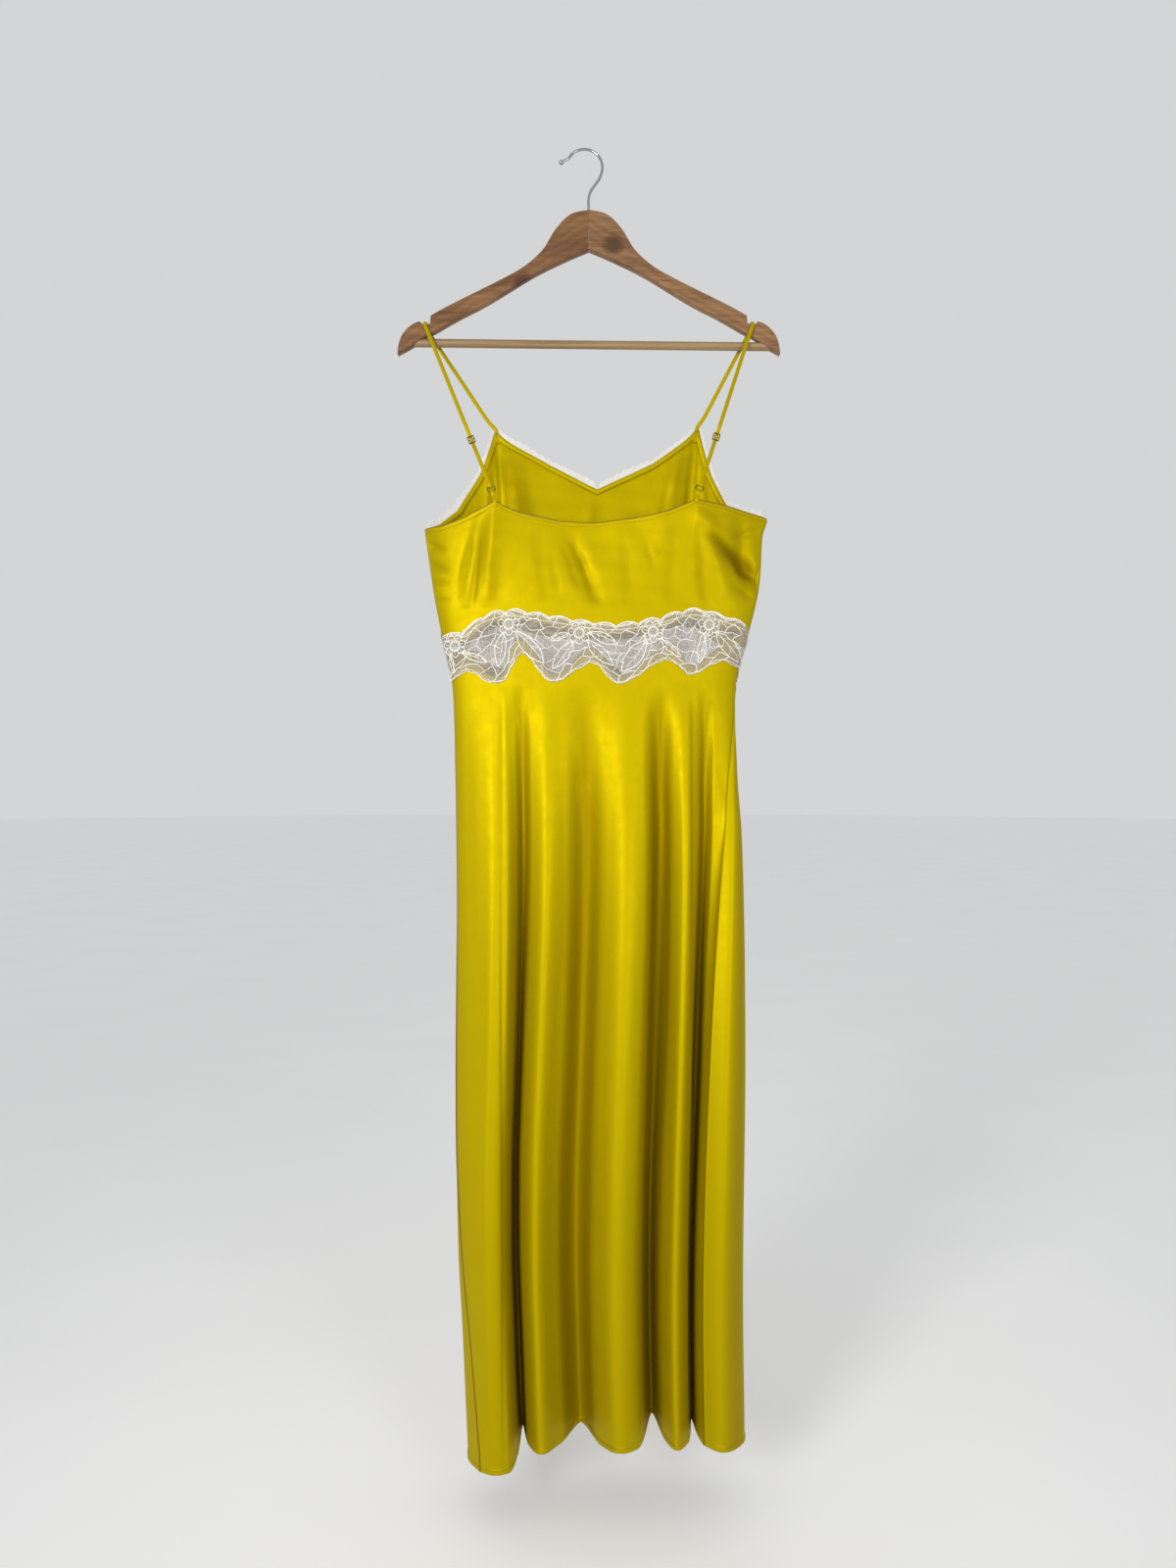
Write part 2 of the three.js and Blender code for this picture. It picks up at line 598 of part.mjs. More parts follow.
// Direction in the hanging plane that leads off the cloth, square to its edge
function offEdge(u) {
  const along = frontEdge(u + 0.01).sub(frontEdge(u - 0.01));
  return new THREE.Vector3(along.z, 0, -along.x).normalize();
}

// A corner of the edge: its point, and the mitre by which bands of any width meet there
function mitre(before, after) {
  const first = offEdge(before - 0.05);
  const second = offEdge(after + 0.05);
  const lean = first.clone().add(second).divideScalar(1 + first.dot(second));
  return { point: frontEdge((before + after) / 2), lean };
}

// A band along the front's edge: a facing inside, or the scalloped lace outside
function edgeBand(first, last, corners, inside) {
  const columns = Math.round((last - first) * EDGE_COLUMNS);
  const outer = [];
  const normals = [];
  for (let i = 0; i <= columns; i++) {
    const u = first + ((last - first) * i) / columns;
    const corner = i === 0 ? corners[0] : i === columns ? corners[1] : null;
    const along = frontEdge(Math.min(u + 0.02, last)).sub(frontEdge(Math.max(u - 0.02, first))).normalize();
    const side = i === 0 ? 1 : i === columns ? -1 : 0;
    const rise = EDGE_LACE_RISE + (i % 2 ? EDGE_LACE_SCALLOP : 0);
    const tip = side ? OFF_EDGE : rise;
    const reach = inside ? [-FACING_WIDTH, -OFF_EDGE] : [-EDGE_LACE_OVER, -OFF_EDGE, tip];
    const lift = inside ? -SATIN_WALL - FACING_OFF : LAID_ON + LACE_WALL;
    reach.forEach((distance, j) => {
      outer[j] ??= [];
      normals[j] ??= [];
      const mitred = corner && distance < -1;
      const start = mitred ? corner.point : frontEdge(u);
      const off = mitred ? corner.lean : offEdge(THREE.MathUtils.clamp(u, first + 0.02, last - 0.02));
      const place = start.clone().addScaledVector(off, distance).addScaledVector(along, side * SEAM_GAP);
      const { point, out } = frontAt(place.x, place.z);
      outer[j][i] = point.addScaledVector(out, lift);
      normals[j][i] = out;
    });
  }
  return wallGeometry(outer, normals, LACE_WALL);
}

const rightApex = mitre(APEXES.rightOuter, APEXES.rightInner);
const leftApex = mitre(APEXES.leftInner, APEXES.leftOuter);
const neckPoint = mitre(APEXES.neckPoint, APEXES.neckPoint);
const NECK_AND_ARMS = [
  ["armhole_right", 0.2, APEXES.rightOuter, [null, rightApex]],
  ["neck_right", APEXES.rightInner, APEXES.neckPoint, [rightApex, neckPoint]],
  ["neck_left", APEXES.neckPoint, APEXES.leftInner, [neckPoint, leftApex]],
  ["armhole_left", APEXES.leftOuter, FRONT_EDGE.length - 1.2, [leftApex, null]],
];
for (const [name, first, last, corners] of NECK_AND_ARMS) {
  addMesh("facing_" + name, edgeBand(first, last, corners, true), COLOURS.satin, 0.4);
  addMesh("lace_" + name, edgeBand(first, last, corners, false), COLOURS.lace, 0.8);
}

// Tube of round sections along a path in the XZ plane, with a radius for each point
function planarTube(points, radii, sides) {
  const positions = [];
  const index = [];
  const across = new THREE.Vector3(0, 1, 0);
  points.forEach((point, i) => {
    const before = points[Math.max(i - 1, 0)];
    const after = points[Math.min(i + 1, points.length - 1)];
    const along = after.clone().sub(before).normalize();
    const up = new THREE.Vector3().crossVectors(along, across);
    for (let k = 0; k < sides; k++) {
      const angle = (2 * Math.PI * k) / sides;
      const p = point.clone();
      p.addScaledVector(up, radii[i] * Math.cos(angle)).addScaledVector(across, radii[i] * Math.sin(angle));
      positions.push(p.x, p.y, p.z);
    }
  });
  for (let i = 0; i + 1 < points.length; i++) {
    for (let k = 0; k < sides; k++) {
      const next = (k + 1) % sides;
      const a = i * sides;
      const b = a + sides;
      index.push(a + k, a + next, b + next, a + k, b + next, b + k);
    }
  }
  const last = (points.length - 1) * sides;
  for (let k = 1; k + 1 < sides; k++) index.push(0, k + 1, k, last, last + k, last + k + 1);
  return facingOut(positions, index);
}

// Hook: a straight foot in the wood, an S bend, the round of the hook and a ball at its tip
function hookGeometry() {
  const round = spaced(-10, 150, 10).map((degrees) => {
    const angle = THREE.MathUtils.degToRad(degrees);
    return [HOOK.centreX + HOOK.radius * Math.cos(angle), HOOK.centreZ + HOOK.radius * Math.sin(angle)];
  });
  const bend = [[0, HOOK.foot], [0, -72], [0, -54], [2.6, -46], [8, -38.2], [12.8, -31]];
  const route = [...bend, ...round, [HOOK.tipX, HOOK.tipZ]];
  const curve = new THREE.CatmullRomCurve3(route.map(([x, z]) => new THREE.Vector3(x, 0, z)));
  const steps = 28;
  const points = curve.getSpacedPoints(steps);
  const radii = points.map(() => HOOK.wire);
  const tip = points[steps].clone();
  const along = points[steps].clone().sub(points[steps - 1]).normalize();
  for (const share of [-0.4, 0.1, 0.6, 0.92]) {
    points.push(tip.clone().addScaledVector(along, (share + 0.8) * HOOK.ball));
    radii.push(HOOK.ball * Math.sqrt(1 - share * share));
  }
  return planarTube(points, radii, 8);
}

// Arms: one outline, mirrored, with bores for the bar and the hook's foot
function armGeometry(side) {
  const shape = new THREE.Shape(
    [...ARM_TOP, ...ARM_FOOT].map(([x, z]) => new THREE.Vector2(side * x, z)),
  );
  const depth = HANGER_THICKNESS - 2 * ARM_BEVEL;
  const arm = new THREE.ExtrudeGeometry(shape, {
    depth, bevelThickness: ARM_BEVEL, bevelSize: ARM_BEVEL, bevelOffset: -ARM_BEVEL, bevelSegments: 1,
  });
  arm.rotateX(Math.PI / 2);
  arm.translate(0, depth / 2, 0);
  const foot = new THREE.CylinderGeometry(HOOK.wire + SEAM_GAP, HOOK.wire + SEAM_GAP, 40, 8);
  foot.rotateX(Math.PI / 2);
  foot.translate(0, 0, HOOK.foot - SEAM_GAP + 20);
  const solid = solidOf(arm).subtract(solidOf(barGeometry(SEAM_GAP))).subtract(solidOf(foot));
  return geometryOf(solid);
}

function barGeometry(extra) {
  const length = BAR.right - BAR.left + 2 * extra;
  const radius = BAR.radius + extra;
  const bar = new THREE.CylinderGeometry(radius, radius, length, 12);
  const drop = Math.atan2(BAR.rightZ - BAR.leftZ, BAR.right - BAR.left);
  bar.rotateZ(Math.PI / 2);
  bar.rotateY(-drop);
  bar.translate((BAR.left + BAR.right) / 2, 0, (BAR.leftZ + BAR.rightZ) / 2);
  return bar;
}

addMesh("hanger_arm_left", armGeometry(-1), COLOURS.wood, 0.5);
addMesh("hanger_arm_right", armGeometry(1), COLOURS.wood, 0.5);
addMesh("hanger_bar", barGeometry(0), COLOURS.bar, 0.6);
addMesh("hanger_hook", hookGeometry(), COLOURS.chrome, 0.2, 1);

// Ribbon of a flat section along a route of points, each with the direction of the ribbon's width
function ribbonGeometry(route) {
  const positions = [];
  const index = [];
  const last = route.length - 1;
  route.forEach(([point, width], i) => {
    const along = route[Math.min(i + 1, last)][0].clone().sub(route[Math.max(i - 1, 0)][0]).normalize();
    const wide = width.clone().addScaledVector(along, -along.dot(width)).normalize();
    const thick = new THREE.Vector3().crossVectors(along, wide);
    for (const [a, b] of [[-1, -1], [1, -1], [1, 1], [-1, 1]]) {
      const corner = point.clone();
      corner.addScaledVector(wide, (a * STRAP_WIDTH) / 2).addScaledVector(thick, (b * STRAP_WALL) / 2);
      positions.push(corner.x, corner.y, corner.z);
    }
  });
  for (let i = 0; i < last; i++) {
    for (let k = 0; k < 4; k++) {
      const next = (k + 1) % 4;
      index.push(4 * i + k, 4 * i + next, 4 * i + 4 + next, 4 * i + k, 4 * i + 4 + next, 4 * i + 4 + k);
    }
  }
  const end = 4 * last;
  index.push(0, 2, 1, 0, 3, 2, end, end + 1, end + 2, end, end + 2, end + 3);
  return facingOut(positions, index);
}

// Placing of a flat fitting: across and along it, and its middle
function setFlat(geometry, across, along, middle) {
  const normal = new THREE.Vector3().crossVectors(across, along);
  const placing = new THREE.Matrix4().makeBasis(across, along, normal).setPosition(middle);
  return geometry.applyMatrix4(placing);
}

// Slider: three bars in a frame, across the strap
function sliderGeometry() {
  const frame = new THREE.Shape();
  const side = SLIDER.wide / 2;
  const end = SLIDER.high / 2;
  frame.moveTo(-side, -end).lineTo(side, -end).lineTo(side, end).lineTo(-side, end);
  const inner = side - SLIDER.bar;
  for (const z of [SLIDER.bar / 2, -SLIDER.bar / 2 - SLIDER.slot]) {
    const slot = new THREE.Path();
    slot.moveTo(-inner, z).lineTo(-inner, z + SLIDER.slot).lineTo(inner, z + SLIDER.slot).lineTo(inner, z);
    frame.holes.push(slot);
  }
  const slider = new THREE.ExtrudeGeometry(frame, { depth: SLIDER.bar, bevelEnabled: false });
  return slider.translate(0, 0, -SLIDER.bar / 2);
}

// One shoulder: the strap over the hanger's notch, its slider, its ring and the loop on the back
function addShoulder(side, strap, apex) {
  const ring = new THREE.Vector3(...strap.ring);
  const half = HANGER_THICKNESS / 2;
  const crossing = (y, z) => new THREE.Vector3(strap.notch, y, z);
  const level = new THREE.Vector3(1, 0, 0);
  const nearNotch = crossing(-half - OFF_NOTCH, NOTCH_FLOOR - BELOW_NOTCH);
  const farNotch = crossing(half + OFF_NOTCH, NOTCH_FLOOR - BELOW_NOTCH);
  const along = nearNotch.clone().sub(ring);
  const length = along.length();
  along.normalize();
  const near = new THREE.Vector3(along.z, 0, -along.x).normalize();
  const back = new THREE.Vector3().crossVectors(along, near).normalize();
  const alongFar = farNotch.clone().sub(apex).normalize();
  const far = new THREE.Vector3(alongFar.z, 0, -alongFar.x).normalize();

  // A point of the near run: up it from the ring's middle, and behind (+) or before (-) it
  const onRun = (distance, depth) => {
    return ring.clone().addScaledVector(along, distance).addScaledVector(back, depth);
  };
  const bar = RING_RADIUS;
  const over = NOTCH_FLOOR + OVER_NOTCH;
  const slot = SLIDER.slot + SLIDER.bar;
  const route = [
    [apex.clone().add(new THREE.Vector3(0, -SATIN_WALL / 2, SEAM_GAP)), level],
    [apex.clone().add(new THREE.Vector3(0, -SATIN_WALL / 2, 3)), level],
    [apex.clone().lerp(farNotch, 0.12), far],
    [apex.clone().lerp(farNotch, 0.5), far],
    [apex.clone().lerp(farNotch, 0.9), far],
    [farNotch, level],
    [crossing(half + 0.9, over - 0.7), level],
    [crossing(half - 1.4, over), level],
    [crossing(0, over), level],
    [crossing(1.4 - half, over), level],
    [crossing(-half - 0.9, over - 0.7), level],
    [nearNotch, level],
    [onRun(length * 0.9, 0), near],
    [onRun(strap.slider + 14, 0), near],
    [onRun(strap.slider + slot, FIT), near],
    [onRun(strap.slider, -FIT), near],
    [onRun(strap.slider - slot, FIT), near],
    [onRun(strap.slider - 14, 0), near],
    [onRun(strap.slider * 0.4, -0.8), near],
    [onRun(bar + 3, -FIT), near],
    [onRun(bar, -FIT), near],
    [onRun(bar - 1.6, -1.2), near],
    [onRun(bar - IN_RING, 0), near],
    [onRun(bar - 1.6, 1.2), near],
    [onRun(bar, FIT), near],
    [onRun(bar + 3, FIT), near],
    [onRun(strap.slider * 0.4, 1.4), near],
    [onRun(strap.slider - 14, 2), near],
    [onRun(strap.slider - slot, FIT + STRAP_WALL + 2 * SEAM_GAP), near],
    [onRun(strap.slider + 1, FIT + STRAP_WALL), near],
  ];
  addMesh("strap_" + side, ribbonGeometry(route), COLOURS.satin, 0.4);
  const slider = setFlat(sliderGeometry(), near, along, onRun(strap.slider, 0));
  addMesh("slider_" + side, slider, COLOURS.brass, 0.35, 1);
  const torus = new THREE.TorusGeometry(RING_RADIUS, RING_WIRE, 6, 14);
  addMesh("ring_" + side, setFlat(torus, near, along, ring), COLOURS.brass, 0.35, 1);

  // Loop round the ring's lower bar, its ends on both faces of the back's apex
  const foot = new THREE.Vector3(...strap.apex);
  const lower = onRun(-bar, 0);
  const up = lower.clone().sub(foot).setY(0).normalize();
  const loopAcross = new THREE.Vector3(up.z, 0, -up.x);
  const onLoop = (rise, depth) => lower.clone().addScaledVector(up, rise).add(new THREE.Vector3(0, depth, 0));
  const tail = foot.clone().addScaledVector(up, -LOOP_TAIL);
  const before = new THREE.Vector3(0, -LAID_ON - STRAP_WALL / 2, 0);
  const behind = new THREE.Vector3(0, SATIN_WALL + LAID_ON + STRAP_WALL / 2, 0);
  const loop = [
    tail.clone().add(before), foot.clone().add(before), onLoop(-3, -FIT), onLoop(0, -FIT), onLoop(1.6, -1.2),
    onLoop(LOOP_IN_RING, 0), onLoop(1.6, 1.2), onLoop(0, FIT), onLoop(-3, FIT), foot.clone().add(behind),
    tail.clone().add(behind),
  ];
  const ribbon = ribbonGeometry(loop.map((point) => [point, loopAcross]));
  addMesh("strap_loop_" + side, ribbon, COLOURS.satin, 0.4);
}

function apexOf(outer, inner) {
  return frontEdge((outer + inner) / 2);
}

addShoulder("left", LEFT_STRAP, apexOf(APEXES.leftOuter, APEXES.leftInner));
addShoulder("right", RIGHT_STRAP, apexOf(APEXES.rightOuter, APEXES.rightInner));

export default group;
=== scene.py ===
# A yellow satin slip dress with a lace waist, hung by its straps on a wooden hanger, its back to the camera.
# Laid out as an add-on and run as a script. Tables and lengths are in millimetres until a mesh is made.
import math

import bmesh
import bpy
import numpy as np
from bpy.props import FloatProperty, FloatVectorProperty, IntProperty, PointerProperty
from mathutils import Euler, Matrix, Vector


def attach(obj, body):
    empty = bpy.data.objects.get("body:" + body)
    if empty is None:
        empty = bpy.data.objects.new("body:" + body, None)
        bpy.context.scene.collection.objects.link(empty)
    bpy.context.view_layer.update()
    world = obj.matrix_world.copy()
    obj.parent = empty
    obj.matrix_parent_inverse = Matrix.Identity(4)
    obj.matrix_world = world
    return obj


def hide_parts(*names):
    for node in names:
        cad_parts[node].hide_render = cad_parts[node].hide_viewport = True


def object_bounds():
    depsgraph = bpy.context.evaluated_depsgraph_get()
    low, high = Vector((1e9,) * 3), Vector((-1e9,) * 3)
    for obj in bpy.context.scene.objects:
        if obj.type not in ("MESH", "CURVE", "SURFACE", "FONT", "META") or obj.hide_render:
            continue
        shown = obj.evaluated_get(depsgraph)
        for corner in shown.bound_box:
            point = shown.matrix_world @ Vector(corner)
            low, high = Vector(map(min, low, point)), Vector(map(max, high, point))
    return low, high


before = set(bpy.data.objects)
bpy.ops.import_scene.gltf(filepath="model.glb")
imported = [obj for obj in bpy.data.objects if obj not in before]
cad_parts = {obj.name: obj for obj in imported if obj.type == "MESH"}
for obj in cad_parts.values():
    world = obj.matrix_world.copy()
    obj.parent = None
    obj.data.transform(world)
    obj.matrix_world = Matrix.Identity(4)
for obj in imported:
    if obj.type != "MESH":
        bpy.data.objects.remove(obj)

CAD_BOX = [list(corner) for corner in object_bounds()]

bl_info = {
    "name": "Slip dress on a hanger",
    "version": (1, 0, 0),
    "blender": (4, 5, 0),
    "location": "View3D > Sidebar > Slip dress",
    "description": "Builds a satin slip dress with a lace waist on its wooden hanger",
    "category": "Object",
}

MM = 0.001

# Body: the same outline and stations as the solids have
WAIST_DEPTH = 26
WAIST_LEVEL = -600
UNDERARM_LEVEL = -430
SIDES = np.array([
    (-1520, -137, 179), (-1456, -140, 178), (-1360, -144.5, 177), (-1264, -149.5, 177.5),
    (-1073, -152.5, 180), (-966, -152.5, 180), (-880, -152, 179), (-793, -153, 176.5),
    (-720, -154.3, 171.5), (-640, -156.5, 169), (-600, -160.5, 173), (-562, -169.7, 184),
    (-515, -179, 195.5), (-486, -183.6, 198.6), (-446, -189.6, 200.5), (-430, -191.5, 205.5),
])

# Top edges: x at the waist, then the place on the edge
BACK_EDGE = [
    (-160.5, -190.7, 0, -438), (-146, -167.8, -14, -437), (-128, -145.2, -22, -430.6),
    (-113, -127.3, -28, -423.2), (-98, -109, -32, -413.9), (-93, -103.5, -32, -413.9),
    (-72, -79.1, -29, -424.7), (-34, -31, -25, -434.3), (6, 6.9, -23, -435.8), (54, 63, -27, -429.1),
    (78, 90, -30, -423), (100, 119.5, -32, -411.2), (106, 124.7, -32, -411.2),
    (128, 156, -24, -416.3), (146, 182, -12, -421.5), (173, 206.2, 0, -425.7),
]
FRONT_EDGE = [
    (173, 206.2, 0, -425.7), (150, 184, 12, -420), (132, 162.2, 20, -406.3), (118, 143.8, 23, -369.4),
    (108, 130, 24, -316.5), (103, 124.5, 24, -316.5), (64, 77.5, 26, -353.7), (12, 10.1, 27, -385),
    (-42, -46.2, 26, -356.7), (-92, -106, 24, -319.8), (-97, -111.5, 24, -319.8),
    (-108, -126.6, 23, -365.9), (-126, -154.1, 18, -412.2), (-146, -174, 11, -430),
    (-160.5, -190.7, 0, -438),
]
APEXES = {"neckPoint": 7, "rightInner": 5, "rightOuter": 4, "leftInner": 9, "leftOuter": 10}

# Soft folds of the bodice: x at the top and foot, depth in (+) or out (-), half width
BACK_FOLDS = [
    (-124, -142, 6, 9), (-107, -116, -4, 9), (-24, 6, 2.5, 10), (126, 160, -5, 13), (172, 184, 5, 9),
]
FRONT_FOLDS = [(-109, -96, -4, 9), (-86, -78, 3, 10), (127, 106, -4, 9), (106, 92, 3, 10)]
BODICE_RELEASE = -533

# Hem of the skirt: x at the waist, the place on the hem, and how far down it has come half way out
SKIRT_RELEASE = -620
HEM_LEVEL = -1480
BACK_HEM = [
    (-160.5, -121, -50, -1500, 0.7), (-118, -103, -58, -1499, 0.3), (-100, -88, -51, -1500, 0.3),
    (-90, -80.5, -22, -1496, 0.3), (-80, -76, 14, -1481, 0.3), (-70, -67, -24, -1484, 0.3),
    (-52, -52, -50, -1480, 0.3), (-30, -31, -20, -1484, 0.3), (-8, -8, 14, -1478, 0.3),
    (16, 14, -28, -1482, 0.3), (38, 35, -52, -1478, 0.3), (60, 57.5, -36, -1481, 0.28),
    (80, 76, 24, -1473, 0.26), (96, 88.5, -22, -1480, 0.26), (110, 100, -46, -1478, 0.26),
    (124, 115, -22, -1482, 0.24), (134, 121.5, 14, -1474, 0.22), (146, 126, -16, -1476, 0.2),
    (173, 131, -38, -1477, 0.17),
]
FRONT_HEM = [
    (173, 131, -38, -1477, 0.17), (171, 152, -52, -1477, 0.24), (166, 179, -20, -1481, 0.3),
    (155, 172, 22, -1484, 0.3), (140, 148, 56, -1484, 0.3), (116, 120, 42, -1482, 0.3),
    (86, 86, 62, -1484, 0.3), (54, 52, 41, -1482, 0.3), (20, 18, 62, -1484, 0.3),
    (-12, -14, 42, -1482, 0.3), (-44, -46, 60, -1484, 0.3), (-76, -76, 42, -1484, 0.3),
    (-108, -104, 56, -1488, 0.35), (-134, -130, 22, -1494, 0.4), (-152, -137, -22, -1500, 0.5),
    (-160.5, -121, -50, -1500, 0.7),
]

# Lace waist band
LACE_TOP = np.array([
    (-175, -566), (-145, -561), (-118, -544), (-87, -538), (-49, -544), (24, -554), (75, -548),
    (118, -537), (158, -545), (190, -556),
])
LACE_FOOT = np.array([
    (-175, -612), (-159, -614), (-138, -602), (-112, -616), (-96, -613), (-76, -584), (-42, -616),
    (4, -594), (35, -618), (88, -590), (116, -607), (152, -591), (186, -606),
])
LACE_POINT_LEVEL, LACE_ARCH_LEVEL = -616, -586
LACE_ENDS = (-170.0, 182.0)
SMALL_SCALLOPS = 14
SCALLOP_RISE = 5
RIPPLE_RISE, RIPPLE_PITCH = 1.6, 6.2
LACE_SIDE_EASE = 0.6
LACE_CENTRE = 6.3
UNDER_LACE = 8
SEAM_GAP = 0.3


def read_table(rows, at, column=1):
    """A table's column at one place or many, on a smooth curve through its rows."""
    at = np.asarray(at, float)
    by, key = rows[:, 0], rows[:, column]
    last = len(rows) - 1
    before = np.maximum(np.arange(last + 1) - 1, 0)
    after = np.minimum(np.arange(last + 1) + 1, last)
    slope = (key[after] - key[before]) / (by[after] - by[before])
    i = np.clip(np.searchsorted(by, at, side="left") - 1, 0, last - 1)
    span = by[i + 1] - by[i]
    t = np.clip((at - by[i]) / span, 0, 1)
    ends = (2 * t**3 - 3 * t**2 + 1) * key[i] + (3 * t**2 - 2 * t**3) * key[i + 1]
    return ends + span * ((t**3 - 2 * t**2 + t) * slope[i] + (t**3 - t**2) * slope[i + 1])


def stack(*parts):
    """Arrays of coordinates joined to one array of points."""
    return np.stack(np.broadcast_arrays(*(np.asarray(part, float) for part in parts)), -1)


def sides_at(z, rows=SIDES):
    return read_table(rows, z, 1), read_table(rows, z, 2)


def kept(x, old, new):
    """x kept at its share between two sides when they move."""
    return new[0] + (x - old[0]) / (old[1] - old[0]) * (new[1] - new[0])


def oval(turn, z):
    """The plain body, a blunt oval at each height. turn 0 is the left side, 1 the right, 2 the left again."""
    left, right = sides_at(z)
    across = np.sin(np.pi * (turn - 0.5))
    depth = WAIST_DEPTH * np.sqrt(np.maximum(0, 1 - np.abs(across) ** 3))
    x = (left + right) / 2 + across * (right - left) / 2
    return stack(x, -np.sign(np.sin(np.pi * turn)) * depth, z)


def turn_at(x, front, z=WAIST_LEVEL):
    left, right = sides_at(z)
    share = np.arcsin(np.clip((2 * x - left - right) / (right - left), -1, 1)) / np.pi
    return 1.5 - share if front else 0.5 + share


def curve_point(p0, p1, p2, p3, t):
    """A place between p1 and p2 on the centripetal curve through four points."""
    d0, d1, d2 = (np.sqrt(np.linalg.norm(b - a, axis=-1, keepdims=True))
                  for a, b in ((p0, p1), (p1, p2), (p2, p3)))
    m1 = d1 * ((p1 - p0) / d0 - (p2 - p0) / (d0 + d1) + (p2 - p1) / d1)
    m2 = d1 * ((p2 - p1) / d1 - (p3 - p1) / (d1 + d2) + (p3 - p2) / d2)
    return p1 + m1 * t + (3 * (p2 - p1) - 2 * m1 - m2) * t**2 + (2 * (p1 - p2) + m1 + m2) * t**3


def way_along(line):
    """How far each point of a line is from its start."""
    return np.concatenate([[0], np.cumsum(np.linalg.norm(np.diff(line, axis=0), axis=1))])


def read_line(line, lengths, at):
    """A line's rows, read at lengths along it."""
    return np.stack([np.interp(at, lengths, column) for column in line.T], -1)


class Panel:
    """A panel's stations and the smooth plan curve through their free ends. u counts stations along it."""

    def __init__(self, stations, front):
        rows = np.array(stations, float)
        self.front = front
        self.most = len(rows) - 1
        self.turns = turn_at(rows[:, 0], front)
        self.levels = rows[:, 3]
        self.halves = rows[:, 4] if rows.shape[1] > 4 else None
        ends = rows[:, 1:3]
        self.ends = np.vstack([2 * ends[0] - ends[1], ends, 2 * ends[-1] - ends[-2]])

    def along(self, values, u):
        return np.interp(u, np.arange(self.most + 1), values)

    def end(self, u):
        """Places on the curve through the stations' ends, in plan."""
        i = np.clip(np.floor(u).astype(int), 0, self.most - 1)
        return curve_point(*(self.ends[i + k] for k in range(4)), (u - i)[..., None])


BACK_BODICE, FRONT_BODICE = Panel(BACK_EDGE, False), Panel(FRONT_EDGE, True)
BACK_SKIRT, FRONT_SKIRT = Panel(BACK_HEM, False), Panel(FRONT_HEM, True)


def lerp(a, b, t):
    return a + (b - a) * t[..., None]


def bodice_point(panel, u, z):
    u, z = np.broadcast_arrays(np.asarray(u, float), np.asarray(z, float))
    top = panel.along(panel.levels, u)
    t = np.clip((z - BODICE_RELEASE) / (top - BODICE_RELEASE), 0, 1)
    end = panel.end(u)
    free = stack(kept(end[..., 0], sides_at(UNDERARM_LEVEL), sides_at(z)), end[..., 1], z)
    point = lerp(oval(panel.along(panel.turns, u), z), free, t * t * (3 - 2 * t))
    inwards = -1 if panel.front else 1
    for high, low, depth, width in FRONT_FOLDS if panel.front else BACK_FOLDS:
        away = (point[..., 0] - (low + (high - low) * t)) / width
        point[..., 1] += inwards * depth * np.exp(-(away**2)) * np.sin(np.pi * t)
    return point


def grown(t, half):
    early = 1 - (1 - t) ** (math.log(0.5) / np.log(1 - half))
    late = t ** (math.log(0.5) / np.log(half))
    return np.where(half < 0.5, early, late)


def loose_skirt_point(panel, u, z):
    t = np.clip((SKIRT_RELEASE - z) / (SKIRT_RELEASE - HEM_LEVEL), 0, 1)
    end = panel.end(u)
    share = grown(t, panel.along(panel.halves, u))
    return lerp(oval(panel.along(panel.turns, u), z), stack(end[..., 0], end[..., 1], z), share)


def spread_table():
    """How far the loose folds reach sideways, so that they can be kept to the sides of the body."""
    rows = []
    for z in np.arange(HEM_LEVEL - 40, WAIST_LEVEL + 41, 40):
        xs = [loose_skirt_point(p, u := np.linspace(0, p.most, 8 * p.most + 1), np.full_like(u, z))[:, 0]
              for p in (BACK_SKIRT, FRONT_SKIRT)]
        rows.append((z, min(map(np.min, xs)), max(map(np.max, xs))))
    return np.array(rows)


SPREAD = spread_table()


def skirt_point(panel, u, z):
    u, z = np.broadcast_arrays(np.asarray(u, float), np.asarray(z, float))
    point = loose_skirt_point(panel, u, z)
    moved = kept(point[..., 0], sides_at(z, SPREAD), sides_at(z))
    point[..., 0] = np.where(z >= SKIRT_RELEASE, point[..., 0], moved)
    return point


def outward(place, panel, u, z):
    """Outward direction at places on a panel. place is bodice_point or skirt_point."""
    step = 0.02
    across = place(panel, np.minimum(u + step, panel.most), z) - place(panel, np.maximum(u - step, 0), z)
    up = place(panel, u, z + 1) - place(panel, u, z - 1)
    return unit(np.cross(across, up))


def unit(v):
    return v / np.linalg.norm(v, axis=-1, keepdims=True)


def smooth_step(low, high, x):
    t = np.clip((x - low) / (high - low), 0, 1)
    return t * t * (3 - 2 * t)


# Meshes
def make_mesh(name, points, faces, uv):
    """A new shown object, smooth, from points and one UV for each, all in millimetres."""
    mesh = bpy.data.meshes.new(name)
    mesh.from_pydata((points * MM).tolist(), [], faces if isinstance(faces, list) else faces.tolist())
    layer = mesh.uv_layers.new(name="UVMap")
    corners = np.empty(len(mesh.loops), int)
    mesh.loops.foreach_get("vertex_index", corners)
    layer.data.foreach_set("uv", (uv[corners] * MM).ravel())
    mesh.polygons.foreach_set("use_smooth", [True] * len(mesh.polygons))
    mesh.update()
    piece = bpy.data.objects.new(name, mesh)
    bpy.context.collection.objects.link(piece)
    return piece


